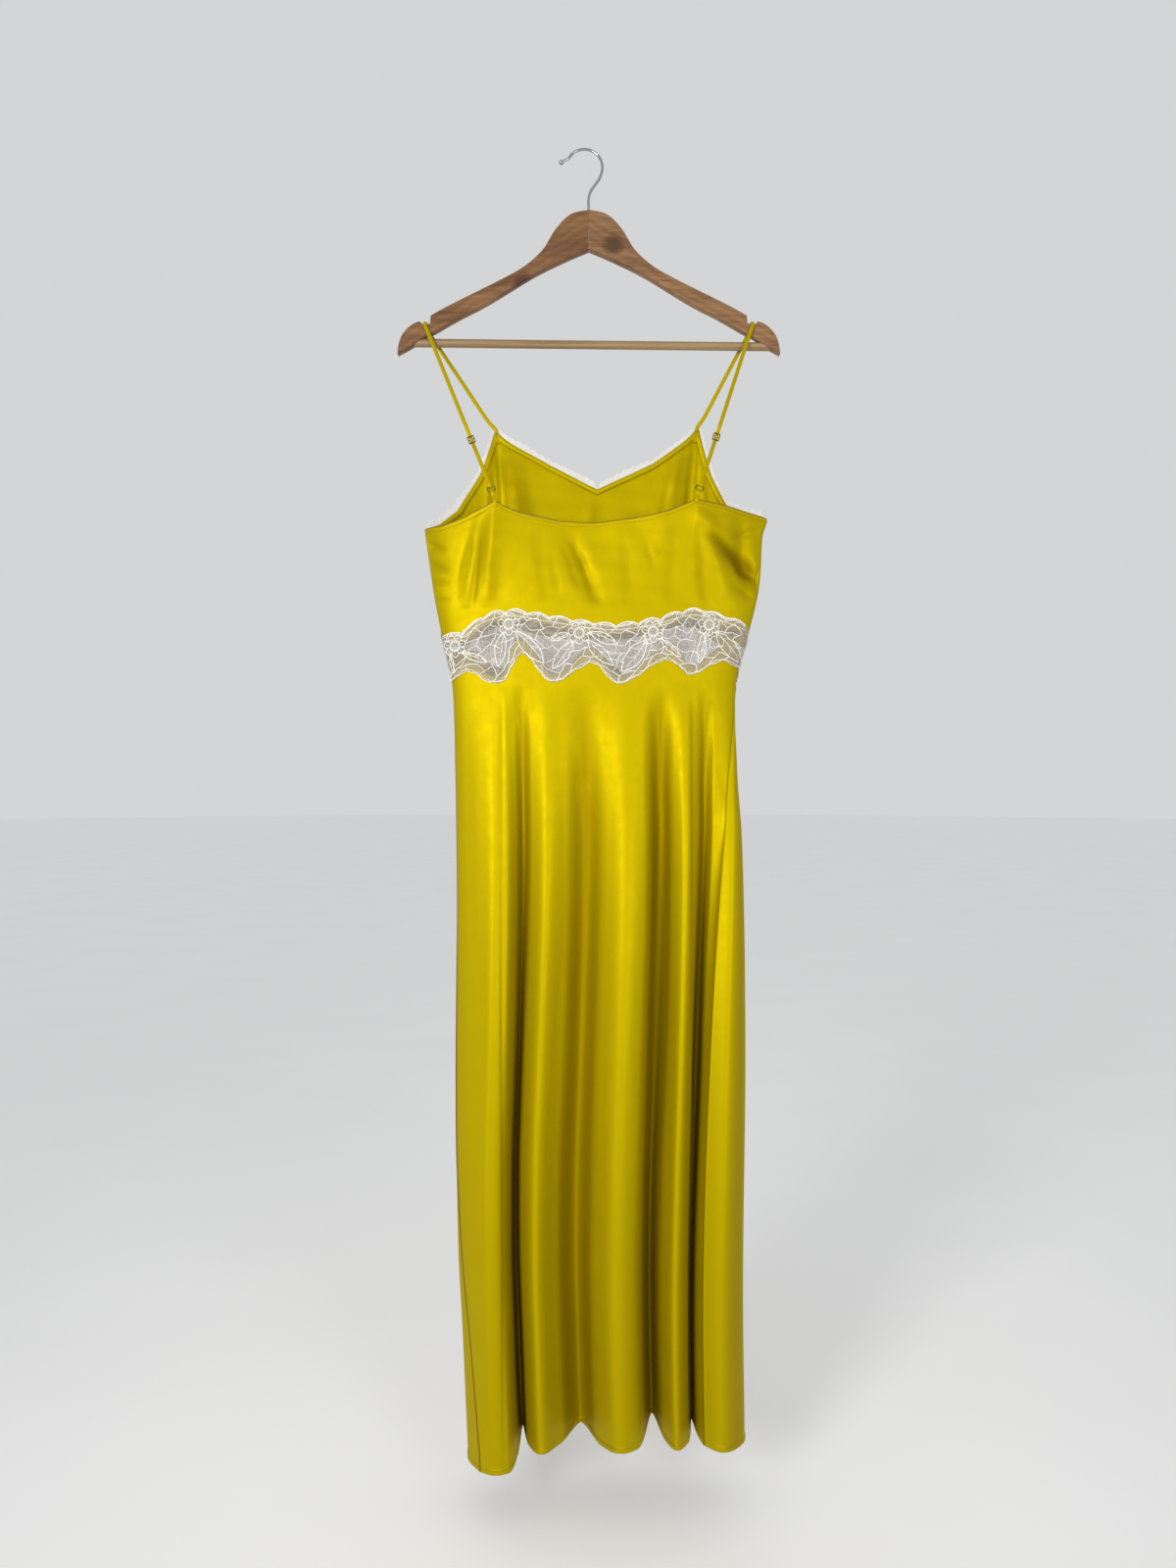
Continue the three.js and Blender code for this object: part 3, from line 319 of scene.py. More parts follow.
def grid_faces(rows, columns, start=0, turned=False, closed=False):
    """Quads of a grid of points, row by row, closed round its columns if asked."""
    j, i = np.meshgrid(np.arange(rows - 1), np.arange(columns if closed else columns - 1), indexing="ij")
    a, b = start + j * columns + i, start + j * columns + (i + 1) % columns
    quads = np.stack([a, b, b + columns, a + columns], -1).reshape(-1, 4)
    return quads[:, ::-1] if turned else quads


def thin_shell(name, outer, normals, thick, uv, depth=None):
    """A closed thin wall from a grid of outer points, faces turned outwards. depth is the share of painted
    shade, kept as a point attribute.
    """
    rows, columns = outer.shape[:2]
    count = rows * columns
    points = np.concatenate([outer.reshape(-1, 3), (outer - normals * thick).reshape(-1, 3)])
    at = np.arange(count).reshape(rows, columns)
    rim = np.concatenate([at[0, :], at[1:, -1], at[-1, -2::-1], at[-2:0:-1, 0]])
    after = np.roll(rim, -1)
    sides = np.stack([rim, rim + count, after + count, after], -1)
    faces = np.concatenate([grid_faces(rows, columns), grid_faces(rows, columns, count, True), sides])
    piece = make_mesh(name, points, faces, np.concatenate([uv.reshape(-1, 2)] * 2))
    if depth is not None:
        # Painted shade: a point attribute by which the satin's colour turns darker in creases, folds, seams
        # and at the back's neck
        layer = piece.data.attributes.new("fold depth", "FLOAT", "POINT")
        layer.data.foreach_set("value", np.concatenate([depth.ravel()] * 2).astype(np.float32))
    return piece


def capped_faces(rows, sides, start=0):
    """Faces of a tube of rings, with a face on each end."""
    last = start + (rows - 1) * sides
    ends = [list(range(start, start + sides))[::-1], list(range(last, last + sides))]
    return grid_faces(rows, sides, start, closed=True).tolist() + ends


def tubes(name, runs, sides):
    """Cords as one mesh. A run is (points, normals, half width, half height)."""
    points, faces, uvs, start = [], [], [], 0
    angles = np.arange(sides) * 2 * np.pi / sides
    for line, normals, half_wide, half_high in runs:
        along = unit(np.gradient(line, axis=0))
        normals = unit(normals - along * np.sum(normals * along, -1, keepdims=True))
        across = np.cross(along, normals)
        ring = (line[:, None] + across[:, None] * np.cos(angles)[:, None] * half_wide
                + normals[:, None] * np.sin(angles)[:, None] * half_high)
        points.append(ring.reshape(-1, 3))
        uvs.append(stack(np.repeat(way_along(line), sides), np.tile(angles, len(line))))
        faces += capped_faces(len(line), sides, start)
        start += len(line) * sides
    return make_mesh(name, np.concatenate(points), faces, np.concatenate(uvs))


def finish_piece(piece, slot, material, *nodes):
    """The piece gets its material, rides on the one body and stands for its CAD nodes."""
    piece.data.materials.clear()
    piece.data.materials.append(bpy.data.materials.get(material) or MATERIALS[material]())
    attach(piece, "root")
    if nodes:
        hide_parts(*nodes)
    return piece


# Relief of the satin
def crease_height(x, z, creases):
    """Height of creases at places: x and z of both ends, depth in (+) or out (-), half width."""
    height = np.zeros_like(x)
    for x0, z0, x1, z1, depth, width in creases:
        run = math.hypot(x1 - x0, z1 - z0)
        ax, az = (x1 - x0) / run, (z1 - z0) / run
        along = np.clip(((x - x0) * ax + (z - z0) * az) / run, 0, 1)
        off = (x - x0) * az - (z - z0) * ax
        height -= depth * np.exp(-((off / width) ** 2)) * np.sin(np.pi * along) ** 0.8
    return height


def undulation(x, z, high, seed, waves, longest, shortest):
    """A sum of soft seeded waves."""
    random = np.random.default_rng(seed)
    height = np.zeros_like(x)
    for _ in range(waves):
        length = random.uniform(shortest, longest)
        angle = random.uniform(0, 2 * np.pi)
        phase = random.uniform(0, 2 * np.pi)
        height += np.sin(2 * np.pi * (x * np.cos(angle) + z * np.sin(angle)) / length + phase)
    return high * (height / math.sqrt(waves))


# Creases of the bodice and the skirt: x, z of both ends, depth, half width
BACK_CREASES = [
    (-123.5, -448, -133, -545, 0.6, 2.2),
    (-21, -452, -4, -492, 0.9, 4.5), (-10, -470, 6, -528, 1.2, 4.0), (-24, -478, -12, -512, 0.6, 3.0),
    (2, -486, 14, -536, 0.7, 5.0), (-32, -458, -20, -486, 0.5, 3.0), (-44, -470, -34, -520, 0.4, 4.0),
    (70, -464, 77, -474, -0.5, 4.0), (60, -474, 92, -466, 0.35, 3.0), (66, -456, 74, -490, 0.35, 4.5),
    (-190, -452, -164, -466, 0.7, 3.5), (-188, -476, -160, -490, 0.9, 4.0),
    (-184, -498, -158, -504, 0.6, 3.5), (-180, -520, -158, -522, 0.5, 3.0),
    (118, -420, 204, -490, -1.2, 7.0), (136, -440, 216, -520, 3.3, 11.0), (196, -440, 160, -452, 0.6, 4.5),
    (200, -496, 166, -486, 0.9, 5.0), (190, -520, 162, -505, 0.7, 4.0), (122, -436, 132, -540, 0.9, 6.0),
    (-114, -410, -108, -540, 0.6, 9.0), (-60, -440, -48, -535, 0.45, 7.0),
    (40, -440, 46, -535, 0.45, 7.0), (96, -430, 90, -530, 0.5, 7.0),
]
FRONT_CREASES = [
    (-112, -330, -104, -430, 0.9, 3.0), (-104, -326, -90, -430, 1.1, 3.5), (-98, -330, -74, -440, 0.8, 4.0),
    (-116, -335, -120, -440, 0.8, 3.5), (128, -330, 120, -430, 0.9, 3.0), (120, -326, 108, -440, 1.0, 3.5),
    (112, -330, 92, -430, 0.8, 4.0), (132, -335, 138, -430, 0.8, 3.5), (10, -392, -10, -470, 0.7, 6.0),
    (-86, -350, -60, -455, 0.6, 5.0), (96, -350, 74, -450, 0.6, 5.0),
]
SKIRT_CREASES = [
    (-140, -600, -132, -960, 0.8, 5.0), (-99, -590, -93, -1600, 1.6, 2.6),
    (-112, -600, -106, -1560, -0.8, 9.0), (-24, -620, -18, -1620, -1.4, 18.0),
    (6, -700, 4, -1560, 1.2, 14.0), (101, -560, 106, -1500, -1.3, 9.0),
    (81, -540, 86, -1300, 2.6, 11.0), (122, -520, 128, -1400, 2.6, 7.0), (118, -560, 122, -1300, 0.9, 2.2),
    (152, -560, 150, -1400, -1.0, 10.0), (176, -640, 146, -1120, 1.2, 3.0),
]


def panel_grid(place, panel, mate, levels):
    """Points and outward directions of a panel's grid. Its end columns keep to the shared seam."""
    u = np.broadcast_to(np.linspace(0, panel.most, levels.shape[1]), levels.shape)
    points = place(panel, u, levels)
    normals = outward(place, panel, u, levels)
    for column, side, mate_u in ((0, 1, mate.most), (-1, -1, 0)):
        z = levels[:, column]
        other = outward(place, mate, np.full_like(z, mate_u), z)
        normals[:, column] = unit(normals[:, column] + other)
        along = unit(np.cross(np.array([0.0, 0, 1]), normals[:, column]))
        points[:, column] += along * side * SEAM_GAP / 2
    return points, normals


def flat_uv(points):
    """UV in millimetres: the way along the foot and the height."""
    steps = np.linalg.norm(np.diff(points[:, :, :2], axis=1), axis=2).mean(axis=0)
    along = np.concatenate([[0], np.cumsum(steps)])
    return stack(along[None, :], points[..., 2])


# Each panel with its mate across the side seams and its creases
BODICES = {
    "back": (BACK_BODICE, FRONT_BODICE, BACK_CREASES),
    "front": (FRONT_BODICE, BACK_BODICE, FRONT_CREASES),
}
SKIRTS = {
    "back": (BACK_SKIRT, FRONT_SKIRT, SKIRT_CREASES),
    "front": (FRONT_SKIRT, BACK_SKIRT, []),
}

# Grids: columns between two stations, rows, and the close rows over the turned hem
BODICE_COLUMNS, BODICE_ROWS = 14, 96
SKIRT_COLUMNS, SKIRT_ROWS = {"back": 11, "front": 13}, 228
HEM_BAND, HEM_BAND_ROWS = 8, 11

# Relief: how much the bodice's creases are raised, soft waves (height, seed, count, longest, shortest), the
# heights between which both begin, away from the waist, and the dip of the cloth at the side seams
CREASE_LIFT = 1.3
SEAM_DIP, SEAM_DIP_COLUMNS = 0.5, 1.5
BODICE_WAVES, BODICE_FREE = (0.22, 3, 9, 60, 18), (-536, -520)
SKIRT_WAVES, SKIRT_FREE = (0.35, 7, 8, 110, 45), (-625, -660)

# Turned edges: how far they stand out, and how far from the edge they step back
NECK_TURN = (0.4, 5.0, 6.0)
HEM_TURN = (0.7, 5.4, 6.2)

# Painted shade, a darker satin colour where shade falls: the crease height that takes it in full, its share
# at seams and at the back's neck and that edge's width, and in the skirt's folds its largest share, the depth
# that brings it and the depth where it fades
FULL_SHADE_CREASE = 2.8
PAINTED_EDGE_SHADE, PAINTED_NECK_SHADE_WIDTH = 0.9, 0.6
PAINTED_FOLD_SHADE, FOLD_DEPTH, FOLD_FADE = 0.7, 4.5, 26


def mirrored(x):
    """The place on the front's waist band that shows a place of the drawing, and the other way round."""
    return 2 * LACE_CENTRE - x


def both_drawings(panel, table, extreme, x):
    """The front's band is drawn mirrored, so the front's panels reach under both drawings."""
    here = read_table(table, x)
    return extreme(here, read_table(table, mirrored(x))) if panel.front else here


def bodice_levels(panel, columns, rows):
    u = np.linspace(0, panel.most, columns + 1)
    x = oval(panel.along(panel.turns, u), WAIST_LEVEL + 50)[:, 0]
    foot = both_drawings(panel, LACE_TOP, np.minimum, x) - UNDER_LACE
    share = np.linspace(0, 1, rows + 1)[:, None]
    share = share + 0.35 * share * (1 - share)
    return foot + (panel.along(panel.levels, u) - foot) * share


def skirt_levels(panel, columns, rows):
    u = np.linspace(0, panel.most, columns + 1)
    x = oval(panel.along(panel.turns, u), WAIST_LEVEL)[:, 0]
    foot = both_drawings(panel, LACE_FOOT, np.maximum, x)
    top = foot + UNDER_LACE + 10 * smooth_step(LACE_POINT_LEVEL, LACE_ARCH_LEVEL, foot)
    hem = panel.along(panel.levels, u)
    band = np.linspace(0, HEM_BAND, HEM_BAND_ROWS)[:, None]
    share = np.linspace(0, 1, rows - HEM_BAND_ROWS + 1)[1:, None]
    return np.concatenate([hem + band, hem + HEM_BAND + (top - hem - HEM_BAND) * share])


def beside_seam(columns):
    """Each column's count of columns from the nearer side seam."""
    i = np.arange(columns + 1)
    return np.minimum(i, columns - i)


def seam_dip(columns):
    """The cloth sinks a little into the side seams."""
    return -SEAM_DIP * np.exp(-((beside_seam(columns) / SEAM_DIP_COLUMNS) ** 2))


def box_mean(values, reach):
    """Each value of a row averaged with its neighbours."""
    kernel = np.ones(2 * reach + 1) / (2 * reach + 1)
    return np.convolve(np.pad(values, reach, mode="edge"), kernel, "valid")


def beside(values, reach):
    """Each value of a grid less the mean of its neighbours along the row."""
    return np.stack([row - box_mean(row, reach) for row in values])


def turned(away, step, first, last):
    """The step that a turned edge makes, by how far away the edge is."""
    return step * (1 - smooth_step(first, last, away))


def satin_shell(name, points, normals, height, depth, settings):
    """A panel's shell, raised by its relief except at the two side seams. depth is the share of painted shade
    in its colour.
    """
    raised = height * smooth_step(0, 2, beside_seam(points.shape[1] - 1))
    outer = points + normals * raised[..., None]
    return thin_shell(name, outer, normals, settings.wall / MM, flat_uv(points), depth)


def bodice_panel(which, settings):
    panel, mate, creases = BODICES[which]
    columns = BODICE_COLUMNS * panel.most
    levels = bodice_levels(panel, columns, BODICE_ROWS)
    points, normals = panel_grid(bodice_point, panel, mate, levels)
    x, z = points[..., 0], points[..., 2]
    free = smooth_step(*BODICE_FREE, z)
    creased = crease_height(x, z, creases)
    height = free * (CREASE_LIFT * creased + undulation(x, z, *BODICE_WAVES)) + seam_dip(columns)
    # Painted shade: the satin turns darker in the creases, by how deep they sink
    depth = free * np.clip(-creased / FULL_SHADE_CREASE, 0, 1) * smooth_step(0, columns / 16, beside_seam(columns))
    if not panel.front:
        below = levels[-1] - levels
        height += turned(below, *NECK_TURN)
        # Painted shadow along the back's neck edge
        depth = np.maximum(depth, PAINTED_EDGE_SHADE * (below < PAINTED_NECK_SHADE_WIDTH))
    return satin_shell(f"satin_bodice_{which}", points, normals, height, depth, settings)


def skirt_panel(which, settings):
    panel, mate, creases = SKIRTS[which]
    columns = SKIRT_COLUMNS[which] * panel.most
    levels = skirt_levels(panel, columns, SKIRT_ROWS)
    points, normals = panel_grid(skirt_point, panel, mate, levels)
    x, z = points[..., 0], points[..., 2]
    free = smooth_step(*SKIRT_FREE, z)
    waves = undulation(x, z / 6, *SKIRT_WAVES)
    height = free * (crease_height(x, z, creases) + waves) + seam_dip(columns)
    height += turned(levels - levels[0], *HEM_TURN)
    side = 1 if panel.front else -1
    # Painted shade: the satin turns darker in the skirt's folds, by how far each point sinks below its
    # neighbours
    sunk = np.maximum(-beside(side * points[..., 1], columns // 14), 0)
    depth = PAINTED_FOLD_SHADE * (1 - np.exp(-sunk / FOLD_DEPTH)) * np.exp(-((sunk / FOLD_FADE) ** 2))
    depth *= smooth_step(columns / 20, columns / 8, beside_seam(columns))
    # Painted shade along the side seams
    depth = np.maximum(depth, PAINTED_EDGE_SHADE * (beside_seam(columns) < 1))
    return satin_shell(f"satin_skirt_{which}", points, normals, height, depth, settings)


# Materials
class Nodes:
    """A material's node tree, built by name."""

    def __init__(self, name):
        self.material = bpy.data.materials.new(name)
        self.material.use_nodes = True
        self.tree = self.material.node_tree
        self.shader = self.tree.nodes["Principled BSDF"]

    def add(self, kind, links=None, **values):
        """A new node: values are its settings or its sockets' numbers, links its sockets' sources."""
        made = self.tree.nodes.new(kind)
        for key, value in values.items():
            if hasattr(made, key):
                setattr(made, key, value)
            else:
                made.inputs[key.replace("_", " ").title().replace("Uv", "UV")].default_value = value
        for key, source in (links or {}).items():
            self.tree.links.new(source, made.inputs[key])
        return made

    def place(self, scale=(1, 1, 1), rotation=(0, 0, 0), source="Object"):
        """Coordinates of the object or its UV, scaled and turned."""
        where = self.add("ShaderNodeTexCoord").outputs[source]
        mapping = self.add("ShaderNodeMapping", {"Vector": where})
        mapping.inputs["Scale"].default_value = scale
        mapping.inputs["Rotation"].default_value = rotation
        return mapping.outputs[0]

    def noise(self, vector, scale, detail=3.0, roughness=0.5):
        made = self.add("ShaderNodeTexNoise", {"Vector": vector}, scale=scale, detail=detail,
                        roughness=roughness)
        return made.outputs["Fac"]

    def ramp(self, source, *stops):
        """Colours or greys along a number: (place, value)."""
        made = self.add("ShaderNodeValToRGB", {"Fac": source})
        band = made.color_ramp.elements
        while len(band) < len(stops):
            band.new(0.5)
        for element, (place, value) in zip(band, stops):
            element.position = place
            element.color = (*value, 1) if hasattr(value, "__len__") else (value, value, value, 1)
        return made.outputs["Color"]

    def maths(self, operation, *inputs):
        made = self.tree.nodes.new("ShaderNodeMath")
        made.operation = operation
        for socket, value in zip(made.inputs, inputs):
            if isinstance(value, (int, float)):
                socket.default_value = value
            else:
                self.tree.links.new(value, socket)
        return made.outputs[0]

    def bump(self, height, strength, distance, under=None):
        links = {"Height": height}
        if under is not None:
            links["Normal"] = under
        return self.add("ShaderNodeBump", links, strength=strength, distance=distance).outputs[0]

    def set(self, **values):
        for key, value in values.items():
            socket = self.shader.inputs[key.replace("_", " ").title().replace("Ior", "IOR")]
            if isinstance(value, bpy.types.NodeSocket):
                self.tree.links.new(value, socket)
            else:
                socket.default_value = value
        return self


# Share of the satin's colour that is left under full painted shade, for red, green and blue
PAINTED_SHADE_FACTORS = (0.5, 0.4, 0.4)


def satin_material(settings):
    made = Nodes("yellow satin")
    body = made.place()
    cloth = made.place(source="UV")
    tone = made.noise(body, 9, 4, 0.6)
    # Painted shade: the colour turns darker by the attribute, with a little random tone of the cloth added
    depth = made.add("ShaderNodeAttribute", attribute_name="fold depth").outputs["Fac"]
    share = made.maths("ADD", depth, made.maths("MULTIPLY", tone, 0.14))
    deep = tuple(c * part for c, part in zip(settings.colour, PAINTED_SHADE_FACTORS))
    colour = made.ramp(share, (0.05, tuple(settings.colour)), (1.0, deep))
    puckers = made.noise(made.place(scale=(1, 1, 0.45)), 34, 3, 0.55)
    crinkle = made.noise(body, 150, 2, 0.5)
    threads = made.noise(made.place(scale=(2600, 500, 1), rotation=(0, 0, 0.78), source="UV"), 1, 1, 0.4)
    normal = made.bump(puckers, settings.pucker, 0.004)
    normal = made.bump(crinkle, 0.12, 0.0008, normal)
    normal = made.bump(threads, 0.06, 0.0002, normal)
    rough = made.ramp(made.noise(cloth, 60, 2, 0.5), (0.3, settings.roughness - 0.03),
                      (0.7, settings.roughness + 0.04))
    made.set(base_color=colour, roughness=rough, normal=normal, metallic=0.42, anisotropic=0.3,
             specular_ior_level=0.12, specular_tint=(0.9, 0.74, 0.04, 1))
    return made.material


def net_material(name, settings, dark, light):
    """See-through net: fine six-sided meshes of thread, cut out by the alpha."""
    made = Nodes(name)
    where = made.place(source="UV")
    cells = made.add("ShaderNodeTexVoronoi", {"Vector": where}, voronoi_dimensions="2D",
                     feature="DISTANCE_TO_EDGE", scale=1 / settings.net_pitch, randomness=0.35)
    thread = made.maths("LESS_THAN", cells.outputs["Distance"], settings.net_thread)
    filled = made.noise(where, 90, 3, 0.6)
    patch = made.maths("MULTIPLY", made.maths("GREATER_THAN", filled, 0.6), 0.3)
    alpha = made.maths("MINIMUM", made.maths("ADD", made.maths("MULTIPLY", thread, 0.9), patch), 1.0)
    tone = made.ramp(made.noise(where, 50, 2, 0.5), (0.3, dark), (0.7, light))
    made.set(base_color=tone, roughness=0.8, alpha=alpha, sheen_weight=0.2)
    return made.material


def cord_material():
    made = Nodes("ivory lace cord")
    twist = made.add("ShaderNodeTexWave", {"Vector": made.place(source="UV", scale=(1, 0.0008, 1))},
                     scale=900, distortion=0.5).outputs["Fac"]
    tone = made.ramp(made.noise(made.place(), 160, 2, 0.5), (0.3, (0.80, 0.77, 0.66)),
                     (0.7, (0.90, 0.88, 0.80)))
    made.set(base_color=tone, roughness=0.55, normal=made.bump(twist, 0.3, 0.0003), sheen_weight=0.3)
    return made.material


def stitch_material():
    made = Nodes("yellow thread")
    # The thread is much darker than the satin: painted shade of the stitch dents
    tone = made.ramp(made.noise(made.place(), 300, 2, 0.5), (0.3, (0.11, 0.08, 0.001)),
                     (0.7, (0.19, 0.14, 0.002)))
    made.set(base_color=tone, roughness=0.5)
    return made.material


def wood_material(name, dark, light, lean, knot):
    """Wood with its grain along an arm that leans by an angle, and one knot."""
    made = Nodes(name)
    along = lambda *scale: made.place(rotation=(0, lean, 0), scale=scale)
    drift = made.noise(along(5, 46, 46), 1, 4, 0.55)
    streaks = made.noise(along(16, 300, 300), 1, 3, 0.6)
    rings = made.add("ShaderNodeTexWave", {"Vector": along(1, 1, 1)}, wave_type="BANDS",
                     bands_direction="Z", scale=34, distortion=5.0, detail=3.0, detail_scale=0.7,
                     detail_roughness=0.6).outputs["Fac"]
    pores = made.noise(along(40, 700, 700), 1, 2, 0.6)
    away = made.add("ShaderNodeVectorMath", {0: made.place()}, operation="DISTANCE")
    away.inputs[1].default_value = knot
    near = made.maths("SUBTRACT", 1.0, made.maths("MULTIPLY", away.outputs["Value"], 70.0))
    knot_share = made.maths("MAXIMUM", near, 0.0)
    grain = made.maths("ADD", made.maths("MULTIPLY", rings, 0.08), made.maths("MULTIPLY", drift, 0.58))
    grain = made.maths("ADD", grain, made.maths("MULTIPLY", streaks, 0.34))
    grain = made.maths("SUBTRACT", grain, made.maths("MULTIPLY", knot_share, 0.6))
    dark_pores = made.maths("MULTIPLY", made.maths("GREATER_THAN", pores, 0.62), 0.12)
    grain = made.maths("SUBTRACT", grain, dark_pores)
    darkest = tuple(c * 0.55 for c in dark)
    middle = tuple((a + b) / 2 for a, b in zip(dark, light))
    colour = made.ramp(grain, (0.1, darkest), (0.36, dark), (0.52, middle), (0.68, light))
    normal = made.bump(pores, 0.12, 0.0004, made.bump(rings, 0.05, 0.001))
    made.set(base_color=colour, roughness=0.4, normal=normal, specular_ior_level=0.3, coat_weight=0.08,
             coat_roughness=0.2)
    return made.material


def bar_material():
    made = Nodes("pale bar wood")
    grain = made.noise(made.place(scale=(5, 300, 300)), 1, 3, 0.6)
    colour = made.ramp(grain, (0.3, (0.22, 0.135, 0.055)), (0.55, (0.33, 0.215, 0.095)),
                       (0.75, (0.42, 0.29, 0.14)))
    made.set(base_color=colour, roughness=0.5, normal=made.bump(grain, 0.15, 0.0004))
    return made.material


def metal_material(name, colour, roughness):
    made = Nodes(name)
    marks = made.noise(made.place(), 220, 3, 0.6)
    rough = made.ramp(marks, (0.3, roughness * 0.75), (0.7, roughness * 1.25))
    tone = made.ramp(marks, (0.2, tuple(c * 0.9 for c in colour)), (0.8, colour))
    made.set(base_color=tone, metallic=1.0, roughness=rough, normal=made.bump(marks, 0.05, 0.0002))
    return made.material


# Materials by name, each made on its first use
MATERIALS = {
    "yellow satin": lambda: satin_material(bpy.context.scene.slip_satin),
    # The waist's net is darker than the pale edge net: painted shade of the dim layers seen through it
    "lace net": lambda: net_material("lace net", bpy.context.scene.slip_lace,
                                     (0.34, 0.305, 0.265), (0.46, 0.42, 0.37)),
    "pale edge net": lambda: net_material("pale edge net", bpy.context.scene.slip_lace,
                                          (0.66, 0.64, 0.58), (0.78, 0.76, 0.70)),
    "ivory lace cord": cord_material,
    "yellow thread": stitch_material,
    "left arm wood": lambda: wood_material("left arm wood", (0.14, 0.06, 0.021), (0.30, 0.15, 0.058),
                                           0.47, (-0.075, -0.006, -0.155)),
    "right arm wood": lambda: wood_material("right arm wood", (0.165, 0.077, 0.030), (0.35, 0.19, 0.083),
                                            -0.47, (0.0285, -0.006, -0.111)),
    "pale bar wood": bar_material,
    "bright wire": lambda: metal_material("bright wire", (0.42, 0.425, 0.43), 0.12),
    "dark gold": lambda: metal_material("dark gold", (0.14, 0.09, 0.028), 0.25),
}


# Waist lace: how far net and cords stand off the plain body, the net's ends and grid, the pitch of the
# small bars under its top edge, and how far a cord may reach past the band
NET_LIFT, CORD_LIFT = 1.0, 1.15
NET_ENDS, NET_COLUMNS, NET_ROWS = (-170.6, 183.2), 420, 30
TOP_BAR = 2.9
CORD_ROOM = 2.5


def lace_place(front, x, z, off):
    """Points on the waist band, off the plain body, with their outward directions. x is the drawing's."""
    turn = turn_at(mirrored(x) if front else x, front, z)
    step = 0.002
    across, up = oval(turn + step, z) - oval(turn - step, z), oval(turn, z + 1) - oval(turn, z - 1)
    out = unit(np.cross(across, up))
    ease = LACE_SIDE_EASE * np.abs(np.cos(np.pi * turn)) ** 16
    return oval(turn, z) + out * (off + ease)[..., None], out


def band_edges(x):
    """Foot and top of the waist band at places across, the top with its small scallops."""
    first, last = LACE_ENDS
    pitch = (last - first) / SMALL_SCALLOPS
    rise = SCALLOP_RISE * np.abs(np.sin(np.pi * (x - first) / pitch)) ** 0.7
    ripple = RIPPLE_RISE * np.abs(np.sin(np.pi * (x - first) / RIPPLE_PITCH)) ** 0.8
    return read_table(LACE_FOOT, x) - ripple, read_table(LACE_TOP, x) + rise


def drawn(x, share):
    """Height on the band at a share of the way from its foot to its top."""
    foot, top = band_edges(x)
    return foot + (top - foot) * share


def cell_lines(first, last, wide, rows, random):
    """Irregular honeycomb lines over the band, as pairs of ends in (x, share)."""
    columns = int((last - first) / wide)
    corners, lines = {}, []

    def corner(i, j):
        if (i, j) not in corners:
            shift = 0.5 if j % 2 else 0.0
            x = first + (i + shift) * (last - first) / columns + random.uniform(-0.3, 0.3) * wide
            y = (j + (0.17 if (i + j) % 2 else -0.17) + random.uniform(-0.27, 0.27)) / rows
            corners[i, j] = (x, min(max(y, 0.0), 1.0))
        return corners[i, j]

    for j in range(rows + 1):
        for i in range(columns + 1):
            here = corner(i, j)
            lines.append((here, corner(i + 1, j)))
            if (i + j) % 2 and j < rows:
                lines.append((here, corner(i + (1 if j % 2 else 0), j + 1)))
    return lines


def crinkled(line, random, amount):
    """A line drawn with a slightly shaky hand; its ends stay."""
    line = np.array(line, float)
    line[1:-1] += random.normal(0, amount, (len(line) - 2, 2))
    return line


def bowed(a, b, bow, steps=6):
    """A line from a to b in (x, z), bowed sideways by a share of its length."""
    t = np.linspace(0, 1, steps)[:, None]
    a, b = np.asarray(a, float), np.asarray(b, float)
    side = np.array([-(b - a)[1], (b - a)[0]]) * bow
    return a + (b - a) * t + side * 4 * t * (1 - t)


def lace_run(front, line, wide, high):
    """A cord of the lace that follows a line of (x, z) on the waist band."""
    return *lace_place(front, line[:, 0], line[:, 1], CORD_LIFT), wide, high


def circle_line(x, z, radius, first=0.0, last=2 * math.pi, steps=25):
    angle = np.linspace(first, last, steps)
    return np.stack([x + radius * np.cos(angle), z + radius * np.sin(angle)], -1)


# The drawing follows the deep scallops: x of the arches between their points, and of the points
ARCHES = (-138, -76, 4, 88, 152)
POINTS = (-159, -104, -42, 35, 116, 180)
BLOSSOM_SHIFT, BLOSSOM_DROP, BLOSSOM_RING = -15.0, 15.5, 5.8


def on_band(x, share):
    return np.array([x, float(drawn(np.array(float(x)), share))])


def leaf_lines(base, tip, width, random):
    """A leaf from its base to its tip: two bowed sides, a midrib and side veins."""
    sides = [bowed(base, tip, side * width, 13) for side in (-1, 1)]
    middle = bowed(base, tip, 0.03, 13)
    lines = [(crinkled(side, random, 0.45), 1.15) for side in sides]
    lines.append((crinkled(middle[:-3], random, 0.3), 0.8))
    for k in (3, 6, 9):
        for side in sides:
            vein = bowed(middle[k], middle[k] + (side[min(k + 2, 11)] - middle[k]) * 0.9, 0.12, 5)
            lines.append((crinkled(vein, random, 0.25), 0.55))
    return lines


def blossom_lines(x, z, random):
    """A blossom: a ring filled with small rings, and crinkled petals round it."""
    lines = [(circle_line(x, z, BLOSSOM_RING), 1.5), (circle_line(x, z, BLOSSOM_RING - 1.5), 0.6)]
    for row in range(-1, 2):
        for k in range(-1, 2):
            cx, cz = x + 2.7 * k + 1.35 * (row % 2), z + 2.35 * row
            if math.hypot(cx - x, cz - z) < BLOSSOM_RING - 2:
                lines.append((circle_line(cx, cz, 1.2, steps=7), 0.35))
    petals = 7
    for k in range(petals):
        lean = 2 * math.pi * (k + 0.3) / petals
        px, pz = x + 8.6 * math.cos(lean), z + 8.6 * math.sin(lean)
        loop = circle_line(px, pz, 3.9, lean - 2.2, lean + 2.2, 15)
        lines.append((crinkled(loop, random, 0.2), 1.1))
        spoke = bowed((x + 6 * math.cos(lean), z + 6 * math.sin(lean)),
                      (x + 10.5 * math.cos(lean), z + 10.5 * math.sin(lean)), 0.05, 4)
        lines.append((spoke, 0.6))
    return lines


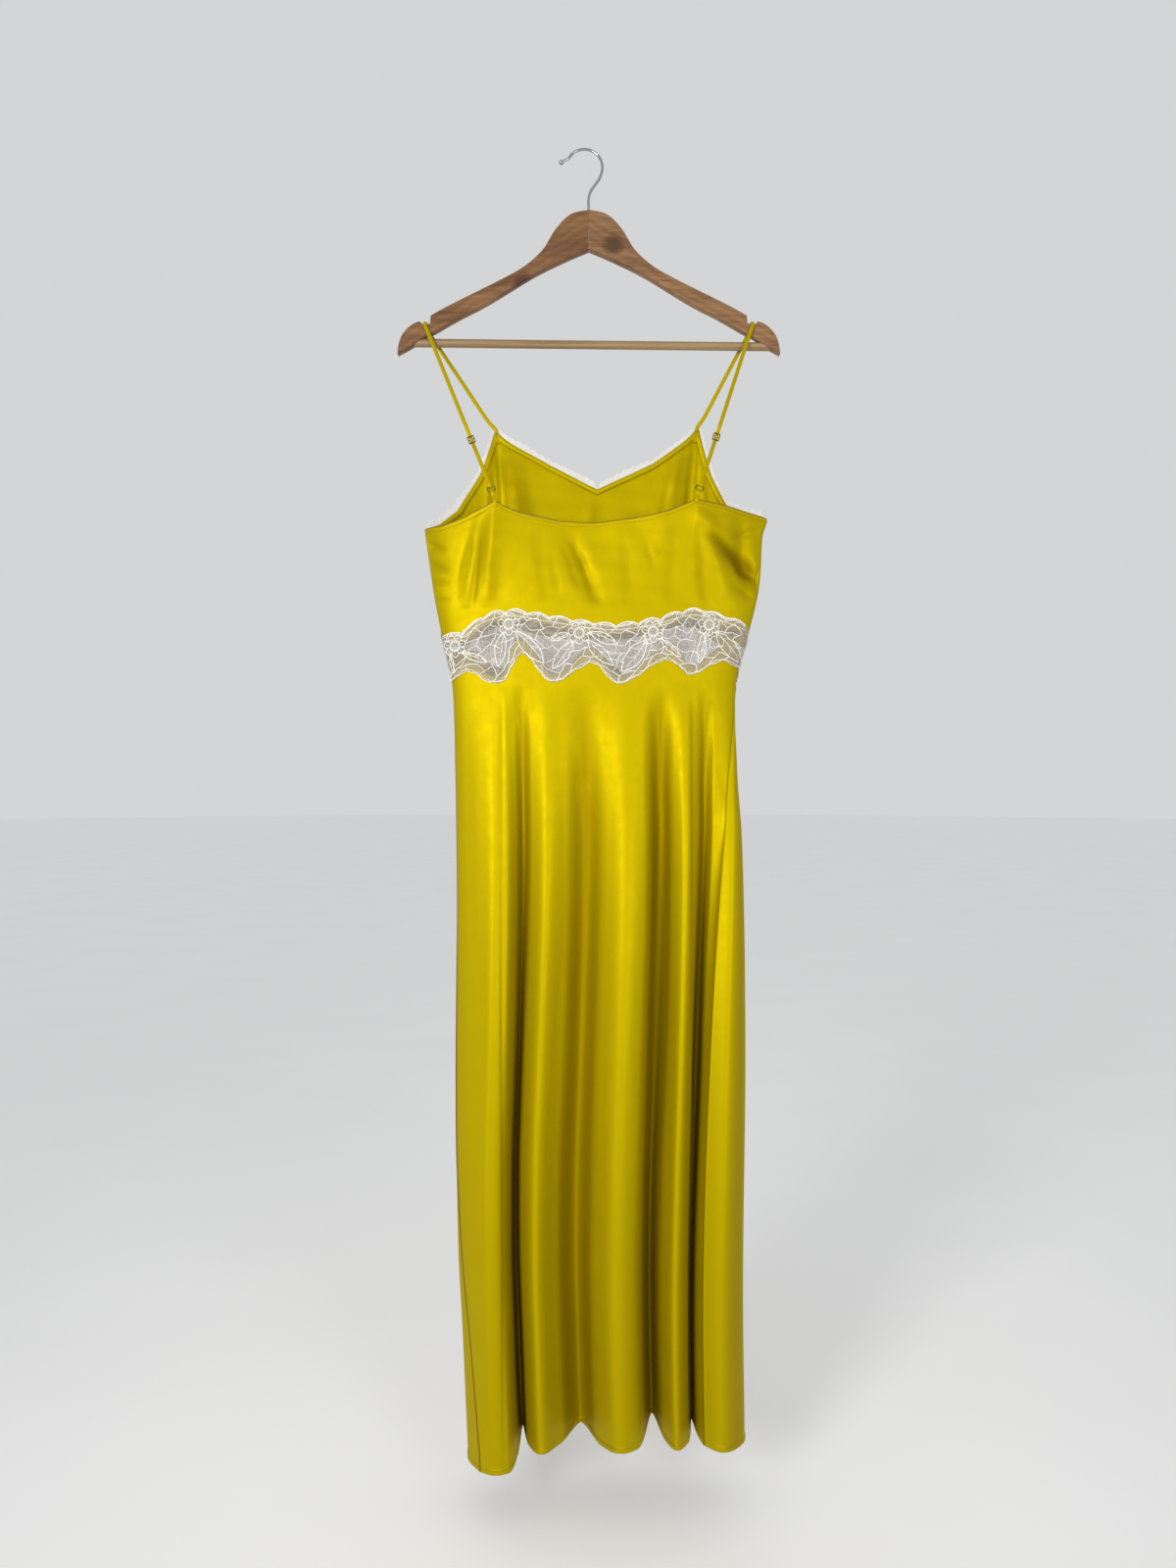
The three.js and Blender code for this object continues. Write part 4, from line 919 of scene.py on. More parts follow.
def waist_lines(settings):
    """The drawing of one waist band: lines of (x, z), each with its share of the plain cord's width."""
    random = np.random.default_rng(settings.seed)
    x = np.linspace(-167, 179.5, 560)
    foot, top = band_edges(x)
    line = lambda z: np.stack([x, z], -1)
    lines = [(line(foot + 0.7), 2.0), (line(foot + 2.0), 0.7), (line(top - 0.5), 1.4),
             (line(top - 2.8), 0.7), (line(read_table(LACE_TOP, x) - 3.5), 0.8)]
    for at in np.arange(-165, 178, TOP_BAR):
        high = float(band_edges(np.array(at))[1])
        lines.append((bowed((at, high - 0.5), (at + 0.3, high - 2.8), 0.0, 3), 0.5))
    blossoms = [on_band(arch + BLOSSOM_SHIFT, 1.0) - (0, BLOSSOM_DROP) for arch in ARCHES]
    leaves = []
    for arch, centre in zip(ARCHES, blossoms):
        left, right = (min(POINTS, key=lambda p: abs(p - (arch + side * 35))) for side in (-1, 1))
        aims = [((-6, -9), left + 5, 0.14), ((8, -8), right - 7, 0.2), ((12, 1), centre[0] + 38, 0.72),
                ((-12, 0), centre[0] - 32, 0.66)]
        for start, tip, share in aims[:random.integers(2, 5)]:
            tip, share = tip + random.uniform(-6, 6), share + random.uniform(-0.07, 0.1)
            leaves.append((centre + start, on_band(tip, share), random.uniform(0.11, 0.19)))
    for centre in blossoms:
        lines += blossom_lines(*centre, random)
    for base, tip, width in leaves:
        lines += leaf_lines(base, tip, width, random)

    def covered(place):
        if any(np.hypot(*(place - centre)) < 12 for centre in blossoms):
            return True
        for base, tip, width in leaves:
            run = np.hypot(*(tip - base))
            way = (tip - base) / run
            along, off = (place - base) @ way, abs((place - base) @ np.array([-way[1], way[0]]))
            share = along / run
            if 0 < share < 1 and off < run * width * 4 * share * (1 - share) + 0.4:
                return True
        return False

    for a, b in cell_lines(-168, 180, settings.cell / MM, 6, random):
        ends = [on_band(*place) for place in (a, b)]
        if covered(np.mean(ends, axis=0)) or min(a[0], b[0]) < -166 or max(a[0], b[0]) > 178:
            continue
        drawn_line = crinkled(bowed(*ends, random.uniform(-0.1, 0.1), 7), random, 0.3)
        lines.append((drawn_line, random.uniform(0.6, 1.15)))
    return lines


def waist_cords(front, settings):
    """The cords of one waist band, laid on the body, each with every point on the band."""
    wide = settings.cord / MM / 2
    runs = [lace_run(front, line, wide * share, 0.25 + 0.12 * share) for line, share in waist_lines(settings)]
    return [run for run in runs if on_cloth(front, run[0])]


def on_cloth(front, points):
    foot, top = band_edges(mirrored(points[:, 0]) if front else points[:, 0])
    return np.all(points[:, 2] > foot - CORD_ROOM) and np.all(points[:, 2] < top + CORD_ROOM)


def waist_net(which, front):
    x = np.linspace(*NET_ENDS, NET_COLUMNS)
    z = drawn(x, np.linspace(0, 1, NET_ROWS)[:, None])
    points, _ = lace_place(front, np.broadcast_to(x, z.shape), z, NET_LIFT)
    faces = grid_faces(*z.shape, turned=front)
    return make_mesh(f"net_waist_{which}", points.reshape(-1, 3), faces, stack(x, z).reshape(-1, 2))


# Places on the front, for its edges
def front_at(x, z):
    """The front's surface over a place in the hanging plane, also past its edge."""
    low, high = np.zeros_like(x), np.full_like(x, FRONT_BODICE.most)
    for _ in range(30):
        middle = (low + high) / 2
        beyond = bodice_point(FRONT_BODICE, middle, z)[..., 0] > x
        low, high = np.where(beyond, middle, low), np.where(beyond, high, middle)
    u = (low + high) / 2
    return bodice_point(FRONT_BODICE, u, z), outward(bodice_point, FRONT_BODICE, u, z)


def front_edge(u):
    u = np.asarray(u, float)
    return bodice_point(FRONT_BODICE, u, FRONT_BODICE.along(FRONT_BODICE.levels, u))


def off_edge(u):
    along = front_edge(u + 0.01) - front_edge(u - 0.01)
    return unit(stack(along[..., 2], 0, -along[..., 0]))


def mitre(before, after):
    """A corner of the edge: its point, and the lean by which bands of any width meet there."""
    first, second = off_edge(np.array(before - 0.05)), off_edge(np.array(after + 0.05))
    lean = (first + second) / (1 + first @ second)
    return front_edge((before + after) / 2), lean


RIGHT_APEX = mitre(APEXES["rightOuter"], APEXES["rightInner"])
LEFT_APEX = mitre(APEXES["leftInner"], APEXES["leftOuter"])
NECK_POINT = mitre(APEXES["neckPoint"], APEXES["neckPoint"])
# Parts of the edge: their two ends in stations, and the mitred corners there
NECK_AND_ARMS = {
    "armhole_right": (0.2, APEXES["rightOuter"], (None, RIGHT_APEX)),
    "neck_right": (APEXES["rightInner"], APEXES["neckPoint"], (RIGHT_APEX, NECK_POINT)),
    "neck_left": (APEXES["neckPoint"], APEXES["leftInner"], (NECK_POINT, LEFT_APEX)),
    "armhole_left": (APEXES["leftOuter"], len(FRONT_EDGE) - 1.2, (LEFT_APEX, None)),
}


def even(line, count):
    """A polyline's points spaced evenly."""
    lengths = way_along(line)
    return read_line(line, lengths, np.linspace(0, lengths[-1], count))


def edge_line(name, distance, count):
    """The line at a distance off a part of the front's edge, in the hanging plane, cut at its corners."""
    first, last, corners = NECK_AND_ARMS[name]
    u = np.linspace(first, last, 400)
    inside = np.clip(u, first + 0.02, last - 0.02)
    line = even(front_edge(u) + off_edge(inside) * distance, 400)
    for end, corner in zip((0, -1), corners):
        if corner is None or distance >= 0:
            continue
        point = corner[0] + corner[1] * distance
        nearest = int(np.argmin(np.linalg.norm((line - point)[:, [0, 2]], axis=1)))
        line = np.vstack([point, line[nearest + 1:]]) if end == 0 else np.vstack([line[:nearest], point])
    return even(line, count)


def on_front(line, lift):
    point, out = front_at(line[..., 0], line[..., 2])
    return point + out * np.asarray(lift)[..., None], out


# Facing strip: its lines as (place off the edge, lift), its wall and points, and its row of stitches
FACING = np.array([
    (-6.2, -1.5), (-5.9, -1.25), (-5.2, -1.3), (-4.4, -1.6), (-3.2, -1.7), (-2.0, -1.7), (-1.0, -1.6),
    (-0.5, -1.2),
])
FACING_WALL, FACING_POINTS = 0.4, 140
FACING_ROW, FACING_ROW_LIFT, FACING_ROW_POINTS = -5.3, -2.0, 500


def facing_piece(name):
    """A folded satin strip inside the front's edge."""
    lines = np.stack([edge_line(name, reach, FACING_POINTS) for reach, _ in FACING])
    points, out = on_front(lines, FACING[:, 1:])
    return thin_shell("facing_strip_" + name, points, out, FACING_WALL, flat_uv(points))


def facing_stitches(name):
    points, out = on_front(edge_line(name, FACING_ROW, FACING_ROW_POINTS), FACING_ROW_LIFT)
    return stitches("stitches_" + name, points, -out)


# Narrow lace: points along it, the pitch of its scallops and of its bars, where its inner rim, inner cord
# and the cloth's rim lie off the edge, and how far net and cords stand off the cloth
EDGE_POINTS = 420
EDGE_SCALLOP = 9.5
EDGE_BAR = 4.75
INNER_RIM, INNER_CORD, CLOTH_RIM = -6.8, -6.4, -0.4
EDGE_NET_LIFT, EDGE_CORD_LIFT = 1.0, 1.1


def scallop_reach(length):
    """How far the lace edging stands past the cloth, in even scallops that taper at both ends."""
    along = np.linspace(0, length, EDGE_POINTS)
    scallops = max(2, round(length / EDGE_SCALLOP))
    rise = np.abs(np.sin(np.pi * scallops * along / length)) ** 0.6
    sway = np.sin(along / 13.0) + 0.6 * np.sin(along / 7.1 + 1)
    ends = smooth_step(0, 7, np.minimum(along, length - along))
    return (4.6 + 3.2 * rise + 0.9 * sway) * ends + 0.4


def edge_lace(name, settings):
    """The net and the cords of one lace edging, and its length."""
    inner, edge = (edge_line(name, distance, EDGE_POINTS) for distance in (INNER_RIM, CLOTH_RIM))
    length = float(np.sum(np.linalg.norm(np.diff(edge, axis=0), axis=1)))
    reach = scallop_reach(length)[:, None]
    off = (edge - edge_line(name, CLOTH_RIM - 1, EDGE_POINTS)) * np.array([1, 0, 1])
    off = unit(np.stack([box_mean(column, 9) for column in off.T], -1))
    rows = [inner, (inner + edge) / 2, edge]
    rows += [edge + off * (reach * share) for share in (0.35, 0.7, 1.0)]
    points, _ = on_front(np.stack(rows), EDGE_NET_LIFT)
    net = make_mesh("net_" + name, points.reshape(-1, 3), grid_faces(*points.shape[:2]),
                    flat_uv(points).reshape(-1, 2))

    # Each with its share of the plain cord's width and its half height
    cords = [(edge + off * reach, 0.7, 0.3), (edge + off * (reach * 0.55), 0.4, 0.3),
             (edge + off * (reach * 0.18), 0.45, 0.3)]
    steps = round(length / EDGE_BAR)
    for k in range(1, steps):
        i = round(k * (EDGE_POINTS - 1) / steps)
        cords.append((edge[i] + off[i] * np.linspace(0.3, reach[i, 0], 5)[:, None], 0.4, 0.22))
    cords.append((edge_line(name, INNER_CORD, EDGE_POINTS), 0.7, 0.3))
    wide = settings.cord / MM / 2
    runs = [(*on_front(line, EDGE_CORD_LIFT), wide * share, high) for line, share, high in cords]
    return net, tubes("cords_" + name, runs, 6), length


# Stitches: pitch, length and the lift of one stitch's four points
STITCH_PITCH, STITCH_LENGTH = 2.4, 2.0
STITCH_LIFT = np.array([-0.1, 0.12, 0.12, -0.1])

# Rows of stitches: trim at both ends in stations, height above the edge, lift off the cloth
HEM_ROW = (0.05, 5.0, 0.55)
NECK_ROW = (0.08, -4.6, 0.6)
# Painted shadow line along the back's neck edge: trim at both ends in stations, height above the edge, lift
NECK_SHADOW_LINE = (0.08, -0.3, 0)


def stitch_runs(points, out, radius=0.2):
    """A row of small stitches along a line, each a short low capsule."""
    lengths = way_along(points)
    runs = []
    for start in np.arange(STITCH_PITCH / 2, lengths[-1] - STITCH_PITCH, STITCH_PITCH):
        at = start + np.linspace(0, STITCH_LENGTH, 4)
        normals = read_line(out, lengths, at)
        line = read_line(points, lengths, at) + unit(normals) * STITCH_LIFT[:, None]
        runs.append((line, normals, radius, radius))
    return runs


def stitches(name, points, out):
    return tubes(name, stitch_runs(points, out), 5)


def edge_row(place, panel, trim, above, lift):
    """Points and outward directions along a panel's free edge, above it and off the cloth by two heights."""
    u = np.linspace(trim, panel.most - trim, 1200)
    z = panel.along(panel.levels, u) + above
    out = outward(place, panel, u, z)
    return place(panel, u, z) + out * lift, out


def hem_stitches(which):
    return stitches(f"stitches_hem_{which}", *edge_row(skirt_point, SKIRTS[which][0], *HEM_ROW))


def neck_stitches():
    """The row of stitches under the back's neck, and a thin dark tube along its edge: a painted shadow line.
    """
    row, out = edge_row(bodice_point, BACK_BODICE, *NECK_ROW)
    edge, _ = edge_row(bodice_point, BACK_BODICE, *NECK_SHADOW_LINE)
    # A dark tube along the edge, standing for the shadow under it
    edge_shadow = (edge[::6] + np.array([0, 0, 0.25]), out[::6], 0.8, 0.5)
    return tubes("stitches_back_neck", stitch_runs(row, out, 0.12) + [edge_shadow], 5)


# Straps: the solids' own routes
HANGER_THICKNESS = 12
NOTCH_FLOOR = -201.7
STRAP_WIDTH = 4.4
STRAP_WALL = 1.0
RING_RADIUS = 4.2
RING_WIRE = 0.7
SLIDER_WIDE, SLIDER_HIGH, SLIDER_BAR, SLIDER_SLOT = 8, 9, 1, 3
FIT = 1.7
STRAPS = {
    "left": {"notch": -188.5, "slider": 63, "ring": (-110.2, -33.5, -399.5), "apex": (-106.3, -32, -413.9),
             "front": ("leftOuter", "leftInner")},
    "right": {"notch": 188.5, "slider": 64, "ring": (125.2, -33.5, -398.5), "apex": (122.1, -32, -411.2),
              "front": ("rightOuter", "rightInner")},
}


def vec(*numbers):
    return np.array(numbers, float)


class Shoulder:
    """One shoulder's lines: the near run up from the ring, and the far run up from the front's apex."""

    def __init__(self, side):
        strap = STRAPS[side]
        half = HANGER_THICKNESS / 2
        self.strap = strap
        self.ring = vec(*strap["ring"])
        self.near_notch = vec(strap["notch"], -half - 1.6, NOTCH_FLOOR - 2.3)
        self.far_notch = vec(strap["notch"], half + 1.6, NOTCH_FLOOR - 2.3)
        run = self.near_notch - self.ring
        self.length = np.linalg.norm(run)
        self.along = run / self.length
        self.near = unit(vec(self.along[2], 0, -self.along[0]))
        self.back = unit(np.cross(self.along, self.near))
        self.apex = front_edge((APEXES[strap["front"][0]] + APEXES[strap["front"][1]]) / 2)
        far = unit(self.far_notch - self.apex)
        self.far = unit(vec(far[2], 0, -far[0]))

    def on_run(self, distance, depth=0.0):
        return self.ring + self.along * distance + self.back * depth

    def route(self):
        """Points of the strap, each with the direction of its width."""
        half = HANGER_THICKNESS / 2
        over = NOTCH_FLOOR + 1.6
        level = vec(1, 0, 0)
        slider, slot, bar = self.strap["slider"], SLIDER_SLOT + SLIDER_BAR, RING_RADIUS
        crossing = lambda y, z: (vec(self.strap["notch"], y, z), level)
        far = lambda share: (self.apex + (self.far_notch - self.apex) * share, self.far)
        near = lambda distance, depth: (self.on_run(distance, depth), self.near)
        return [
            (self.apex + vec(0, -0.6, 0.3), level), (self.apex + vec(0, -0.6, 3), level),
            far(0.12), far(0.5), far(0.9), (self.far_notch, level), crossing(half + 0.9, over - 0.7),
            crossing(half - 1.4, over), crossing(0, over), crossing(1.4 - half, over),
            crossing(-half - 0.9, over - 0.7), (self.near_notch, level), near(self.length * 0.9, 0),
            near(slider + 14, 0), near(slider + slot, FIT), near(slider, -FIT), near(slider - slot, FIT),
            near(slider - 14, 0), near(slider * 0.4, -0.8), near(bar + 3, -FIT), near(bar, -FIT),
            near(bar - 1.6, -1.2), near(bar - 2.5, 0), near(bar - 1.6, 1.2), near(bar, FIT),
            near(bar + 3, FIT), near(slider * 0.4, 1.4), near(slider - 14, 2),
            near(slider - slot, FIT + STRAP_WALL + 0.6), near(slider + 1, FIT + STRAP_WALL),
        ]

    def loop(self):
        """Points of the loop on the back's apex, round the ring's lower side."""
        foot = vec(*self.strap["apex"])
        lower = self.on_run(-RING_RADIUS)
        up = unit((lower - foot) * vec(1, 0, 1))
        across = vec(up[2], 0, -up[0])
        place = lambda rise, depth: lower + up * rise + vec(0, depth, 0)
        tail = foot - up * 5
        before, behind = vec(0, -1.0, 0), vec(0, 2.2, 0)
        points = [tail + before, foot + before, place(-3, -FIT), place(0, -FIT), place(1.6, -1.2),
                  place(2.9, 0), place(1.6, 1.2), place(0, FIT), place(-3, FIT), foot + behind, tail + behind]
        return [(point, across) for point in points]


def rounded(route, step):
    """A route's points and widths on a smooth line through them, about a step apart."""
    points = np.array([p for p, _ in route])
    widths = np.array([w for _, w in route])
    ends = np.vstack([2 * points[0] - points[1], points, 2 * points[-1] - points[-2]])
    line, across = [], []
    for i in range(len(points) - 1):
        count = max(2, math.ceil(np.linalg.norm(points[i + 1] - points[i]) / step))
        for t in np.arange(count) / count:
            line.append(curve_point(*ends[i:i + 4], t))
            across.append(widths[i] + (widths[i + 1] - widths[i]) * t)
    return np.array(line + [points[-1]]), np.array(across + [widths[-1]])


def ribbon(name, route, wide, thick, step=2.0):
    """A narrow flat tube of satin along a route, its two long edges rounded."""
    line, across = rounded(route, step)
    along = unit(np.gradient(line, axis=0))
    across = unit(across - along * np.sum(across * along, -1, keepdims=True))
    normals = np.cross(along, across)
    section = [(-0.5, 0.0), (-0.46, 0.36), (-0.36, 0.5), (0.0, 0.58), (0.36, 0.5), (0.46, 0.36),
               (0.5, 0.0), (0.46, -0.36), (0.36, -0.5), (0.0, -0.58), (-0.36, -0.5), (-0.46, -0.36)]
    ring = np.stack([line + across * (a * wide) + normals * (b * thick) for a, b in section], 1)
    sides = len(section)
    uv = stack(np.repeat(way_along(line), sides), np.tile(np.linspace(0, 2 * wide, sides), len(line)))
    return make_mesh(name, ring.reshape(-1, 3), capped_faces(len(line), sides), uv)


# Modelling by hand: bpy.ops on one piece at a time
def begin():
    if bpy.context.object and bpy.context.object.mode != "OBJECT":
        bpy.ops.object.mode_set(mode="OBJECT")
    bpy.ops.object.select_all(action="DESELECT")


def named(name):
    piece = bpy.context.object
    piece.name = piece.data.name = name
    return piece


def pick(test):
    """Selects the edited mesh's corners that pass a test of their place in millimetres."""
    mesh = bmesh.from_edit_mesh(bpy.context.object.data)
    bpy.ops.mesh.select_all(action="DESELECT")
    for corner in mesh.verts:
        corner.select = bool(test(corner.co / MM))
    mesh.select_flush(True)
    bmesh.update_edit_mesh(bpy.context.object.data)


def settle(piece):
    """Back to object mode, doubles merged, faces turned outwards, placed in its own mesh."""
    bpy.ops.object.mode_set(mode="EDIT")
    bpy.ops.mesh.select_all(action="SELECT")
    bpy.ops.mesh.remove_doubles(threshold=0.00002)
    bpy.ops.mesh.normals_make_consistent(inside=False)
    bpy.ops.object.mode_set(mode="OBJECT")
    bpy.ops.object.transform_apply(location=True, rotation=True, scale=True)
    return piece


def swept(name, stations, sides):
    """A round bar along (x, z, radius) in the hanging plane: a circle extruded and turned step by step."""
    begin()
    places = [Vector((x, 0, z)) * MM for x, z, _ in stations]
    headings = []
    for i in range(len(places)):
        way = places[min(i + 1, len(places) - 1)] - places[max(i - 1, 0)]
        headings.append(math.atan2(way.x, way.z))
    bpy.ops.mesh.primitive_circle_add(vertices=sides, radius=stations[0][2] * MM, fill_type="NGON",
                                      location=places[0], rotation=(0, headings[0], 0))
    bpy.ops.object.transform_apply(location=True, rotation=True, scale=True)
    bpy.ops.object.mode_set(mode="EDIT")
    bpy.ops.mesh.select_all(action="SELECT")
    for i in range(1, len(stations)):
        bpy.ops.mesh.extrude_region_move(TRANSFORM_OT_translate={"value": places[i] - places[i - 1]})
        bpy.ops.transform.rotate(value=-(headings[i] - headings[i - 1]), orient_axis="Y",
                                 orient_type="GLOBAL", center_override=places[i])
        size = stations[i][2] / stations[i - 1][2]
        bpy.ops.transform.resize(value=(size, size, size), center_override=places[i])
    bpy.ops.object.mode_set(mode="OBJECT")
    return settle(named(name))


# Hanger: heights of an arm's upper and lower edge from the joint to the tip
ARM_TOP = np.array([
    (0.15, -69.5), (10, -70.8), (22, -75), (33, -85), (42, -97), (50, -111), (60, -122.5), (76, -135.5),
    (98, -148), (165, -181.5), (182.6, -191.5),
])
ARM_FOOT = np.array([
    (0.15, -116.3), (22, -125.5), (62, -145), (118, -179), (155, -198), (175, -210), (188, -216.5),
    (203, -227), (221, -237),
])
ARM_NOTCH = [
    (183.0, -199.0), (184.4, -201.2), (186.4, -201.7), (190.6, -201.7), (192.6, -201.0), (195, -198.3),
    (198.5, -198.9), (203, -201), (207, -203.8), (210.5, -207), (214, -211.3), (216.5, -215.5),
    (218.6, -221), (220, -227), (220.5, -233),
]
BAR = {"left": (-207, -222), "right": (211, -226.6), "radius": 4.75}
HOOK = {"wire": 1.6, "centre": (-5.2, -18.7), "radius": 20.9, "tip": (-29.8, -12), "ball": 2.9}
HOOK_BEND = [(0, -90), (0, -72), (0, -54), (2.6, -46), (8, -38.2), (12.8, -31)]


def arm_stations():
    """An arm's x with its upper and lower height, close together at the notch and the tip."""
    plain = [0.05, 2, 6, 10, 14, 18, 22, 26, 30, 33, 36, 39, 42, 46, 50, 54, 58, 62, 68, 76, 86, 98, 112, 128,
             146, 165, 174, 179, 182.4]
    rows = [(x, float(read_table(ARM_TOP, x))) for x in plain] + ARM_NOTCH
    return [(x, top, float(read_table(ARM_FOOT, x))) for x, top in rows]


def hanger_arm(side, settings):
    """A rounded section extruded along the arm, its two halves moved to each station's heights."""
    name = "hanger_arm_wood_" + ("left" if side < 0 else "right")
    stations = arm_stations()
    x, top, foot = stations[0]
    begin()
    bpy.ops.mesh.primitive_plane_add(size=1, location=(side * x * MM, 0, (top + foot) / 2 * MM),
                                     rotation=(0, side * math.pi / 2, 0))
    bpy.ops.transform.resize(value=(1, HANGER_THICKNESS * MM, (top - foot) * MM), orient_type="GLOBAL")
    bpy.ops.object.transform_apply(location=True, rotation=True, scale=True)
    bpy.ops.object.mode_set(mode="EDIT")
    bpy.ops.mesh.select_all(action="SELECT")
    bpy.ops.mesh.bevel(offset=settings.arm_round, segments=4, affect="VERTICES", offset_type="OFFSET")
    bpy.ops.mesh.select_all(action="SELECT")
    for i in range(1, len(stations)):
        was, now = stations[i - 1], stations[i]
        step = side * (now[0] - was[0]) * MM
        bpy.ops.mesh.extrude_region_move(TRANSFORM_OT_translate={"value": (step, 0, 0)})
        middle = (was[1] + was[2]) / 2
        at_end = lambda p: abs(p.x - side * now[0]) < 0.02
        pick(lambda p: at_end(p) and p.z > middle)
        bpy.ops.transform.translate(value=(0, 0, (now[1] - was[1]) * MM))
        pick(lambda p: at_end(p) and p.z < middle - 0.01 and p.z < (now[1] + was[2]) / 2)
        bpy.ops.transform.translate(value=(0, 0, (now[2] - was[2]) * MM))
        pick(at_end)
    bpy.ops.object.mode_set(mode="OBJECT")
    piece = settle(named(name))
    bpy.ops.object.shade_smooth_by_angle(angle=math.radians(40))
    return piece


def hanger_bar():
    """A rod, its length along X, its ends rounded, set between the two arms."""
    (x0, z0), (x1, z1) = BAR["left"], BAR["right"]
    length = math.hypot(x1 - x0, z1 - z0)
    begin()
    bpy.ops.mesh.primitive_cylinder_add(vertices=32, radius=BAR["radius"] * MM, depth=length * MM,
                                        rotation=(0, math.pi / 2, 0))
    bpy.ops.object.transform_apply(location=True, rotation=True, scale=True)
    bpy.ops.object.mode_set(mode="EDIT")
    pick(lambda p: abs(p.x) > length / 2 - 0.1)
    bpy.ops.mesh.bevel(offset=1.2 * MM, segments=3)
    bpy.ops.object.mode_set(mode="OBJECT")
    rod = named("hanger_rod")
    rod.matrix_world = (Matrix.Translation(Vector(((x0 + x1) / 2, 0, (z0 + z1) / 2)) * MM)
                        @ Euler((0, -math.atan2(z1 - z0, x1 - x0), 0)).to_matrix().to_4x4())
    bpy.ops.object.shade_smooth_by_angle(angle=math.radians(40))
    return settle(rod)


def hook_stations():
    cx, cz = HOOK["centre"]
    turns = np.radians(np.linspace(-10, 150, 11))
    bend = [(cx + HOOK["radius"] * math.cos(a), cz + HOOK["radius"] * math.sin(a)) for a in turns]
    route = [*HOOK_BEND, *bend, HOOK["tip"]]
    line, _ = rounded([(vec(x, 0, z), vec(0, 1, 0)) for x, z in route], 1.6)
    return [(p[0], p[2], HOOK["wire"]) for p in line]


def hanger_hook():
    """The bent wire, and the ball at its tip joined to it."""
    wire = swept("hanger_wire_hook", hook_stations(), 20)
    bpy.ops.object.shade_smooth_by_angle(angle=math.radians(50))
    (x, z), (bx, bz) = HOOK["tip"], hook_stations()[-3][:2]
    way = unit(vec(x - bx, 0, z - bz))
    centre = vec(x, 0, z) + way * 0.8 * HOOK["ball"]
    begin()
    bpy.ops.mesh.primitive_uv_sphere_add(segments=28, ring_count=18, radius=HOOK["ball"] * MM,
                                         location=centre * MM)
    bpy.ops.object.transform_apply(location=True, rotation=True, scale=True)
    bpy.ops.object.shade_smooth()
    ball = bpy.context.object
    begin()
    ball.select_set(True)
    wire.select_set(True)
    bpy.context.view_layer.objects.active = wire
    bpy.ops.object.join()
    return wire


def set_in_plane(piece, across, along, middle):
    """Places a flat fitting: its X across the strap, its Y along it."""
    normal = np.cross(across, along)
    basis = Matrix([[*row] for row in np.stack([across, along, normal], 1)]).to_4x4()
    piece.matrix_world = Matrix.Translation(Vector(middle) * MM) @ basis
    begin()
    piece.select_set(True)
    bpy.context.view_layer.objects.active = piece
    bpy.ops.object.transform_apply(location=True, rotation=True, scale=True)
    return piece


def ring_piece(side):
    shoulder = Shoulder(side)
    begin()
    bpy.ops.mesh.primitive_torus_add(major_radius=RING_RADIUS * MM, minor_radius=RING_WIRE * MM,
                                     major_segments=56, minor_segments=16)
    bpy.ops.object.shade_smooth()
    return set_in_plane(named("metal_ring_" + side), shoulder.near, shoulder.along, shoulder.ring)


def slider_piece(side):
    """A plate cut in a grid, its two windows taken out, thickened and rounded."""
    shoulder = Shoulder(side)
    wide, high = SLIDER_WIDE * MM, SLIDER_HIGH * MM
    begin()
    bpy.ops.mesh.primitive_plane_add(size=1)
    bpy.ops.transform.resize(value=(wide, high, 1))
    bpy.ops.object.transform_apply(location=True, rotation=True, scale=True)
    bpy.ops.object.mode_set(mode="EDIT")
    cuts = [((x, 0, 0), (1, 0, 0)) for x in (-wide / 2 + SLIDER_BAR * MM, wide / 2 - SLIDER_BAR * MM)]
    half = SLIDER_BAR * MM / 2
    cuts += [((0, y, 0), (0, 1, 0)) for y in (-half - SLIDER_SLOT * MM, -half, half, half + SLIDER_SLOT * MM)]
    for place, normal in cuts:
        bpy.ops.mesh.select_all(action="SELECT")
        bpy.ops.mesh.bisect(plane_co=place, plane_no=normal)
    mesh = bmesh.from_edit_mesh(bpy.context.object.data)
    bpy.ops.mesh.select_all(action="DESELECT")
    for face in mesh.faces:
        middle = face.calc_center_median() / MM
        slot = 0.5 * SLIDER_BAR < abs(middle.y) < 0.5 * SLIDER_BAR + SLIDER_SLOT
        if slot and abs(middle.x) < SLIDER_WIDE / 2 - SLIDER_BAR:
            face.select_set(True)
    bmesh.update_edit_mesh(bpy.context.object.data)
    bpy.ops.mesh.delete(type="FACE")
    bpy.ops.mesh.select_all(action="SELECT")
    bpy.ops.mesh.extrude_region_move(TRANSFORM_OT_translate={"value": (0, 0, SLIDER_BAR * MM)})
    bpy.ops.mesh.select_all(action="SELECT")
    bpy.ops.transform.translate(value=(0, 0, -SLIDER_BAR * MM / 2))
    bpy.ops.object.mode_set(mode="OBJECT")
    piece = settle(named("metal_slider_" + side))
    bevel = piece.modifiers.new("rounding", "BEVEL")
    bevel.width, bevel.segments, bevel.limit_method = 0.3 * MM, 3, "ANGLE"
    bpy.ops.object.modifier_apply(modifier=bevel.name)
    bpy.ops.object.shade_smooth_by_angle(angle=math.radians(40))
    return set_in_plane(piece, shoulder.near, shoulder.along, shoulder.on_run(shoulder.strap["slider"]))


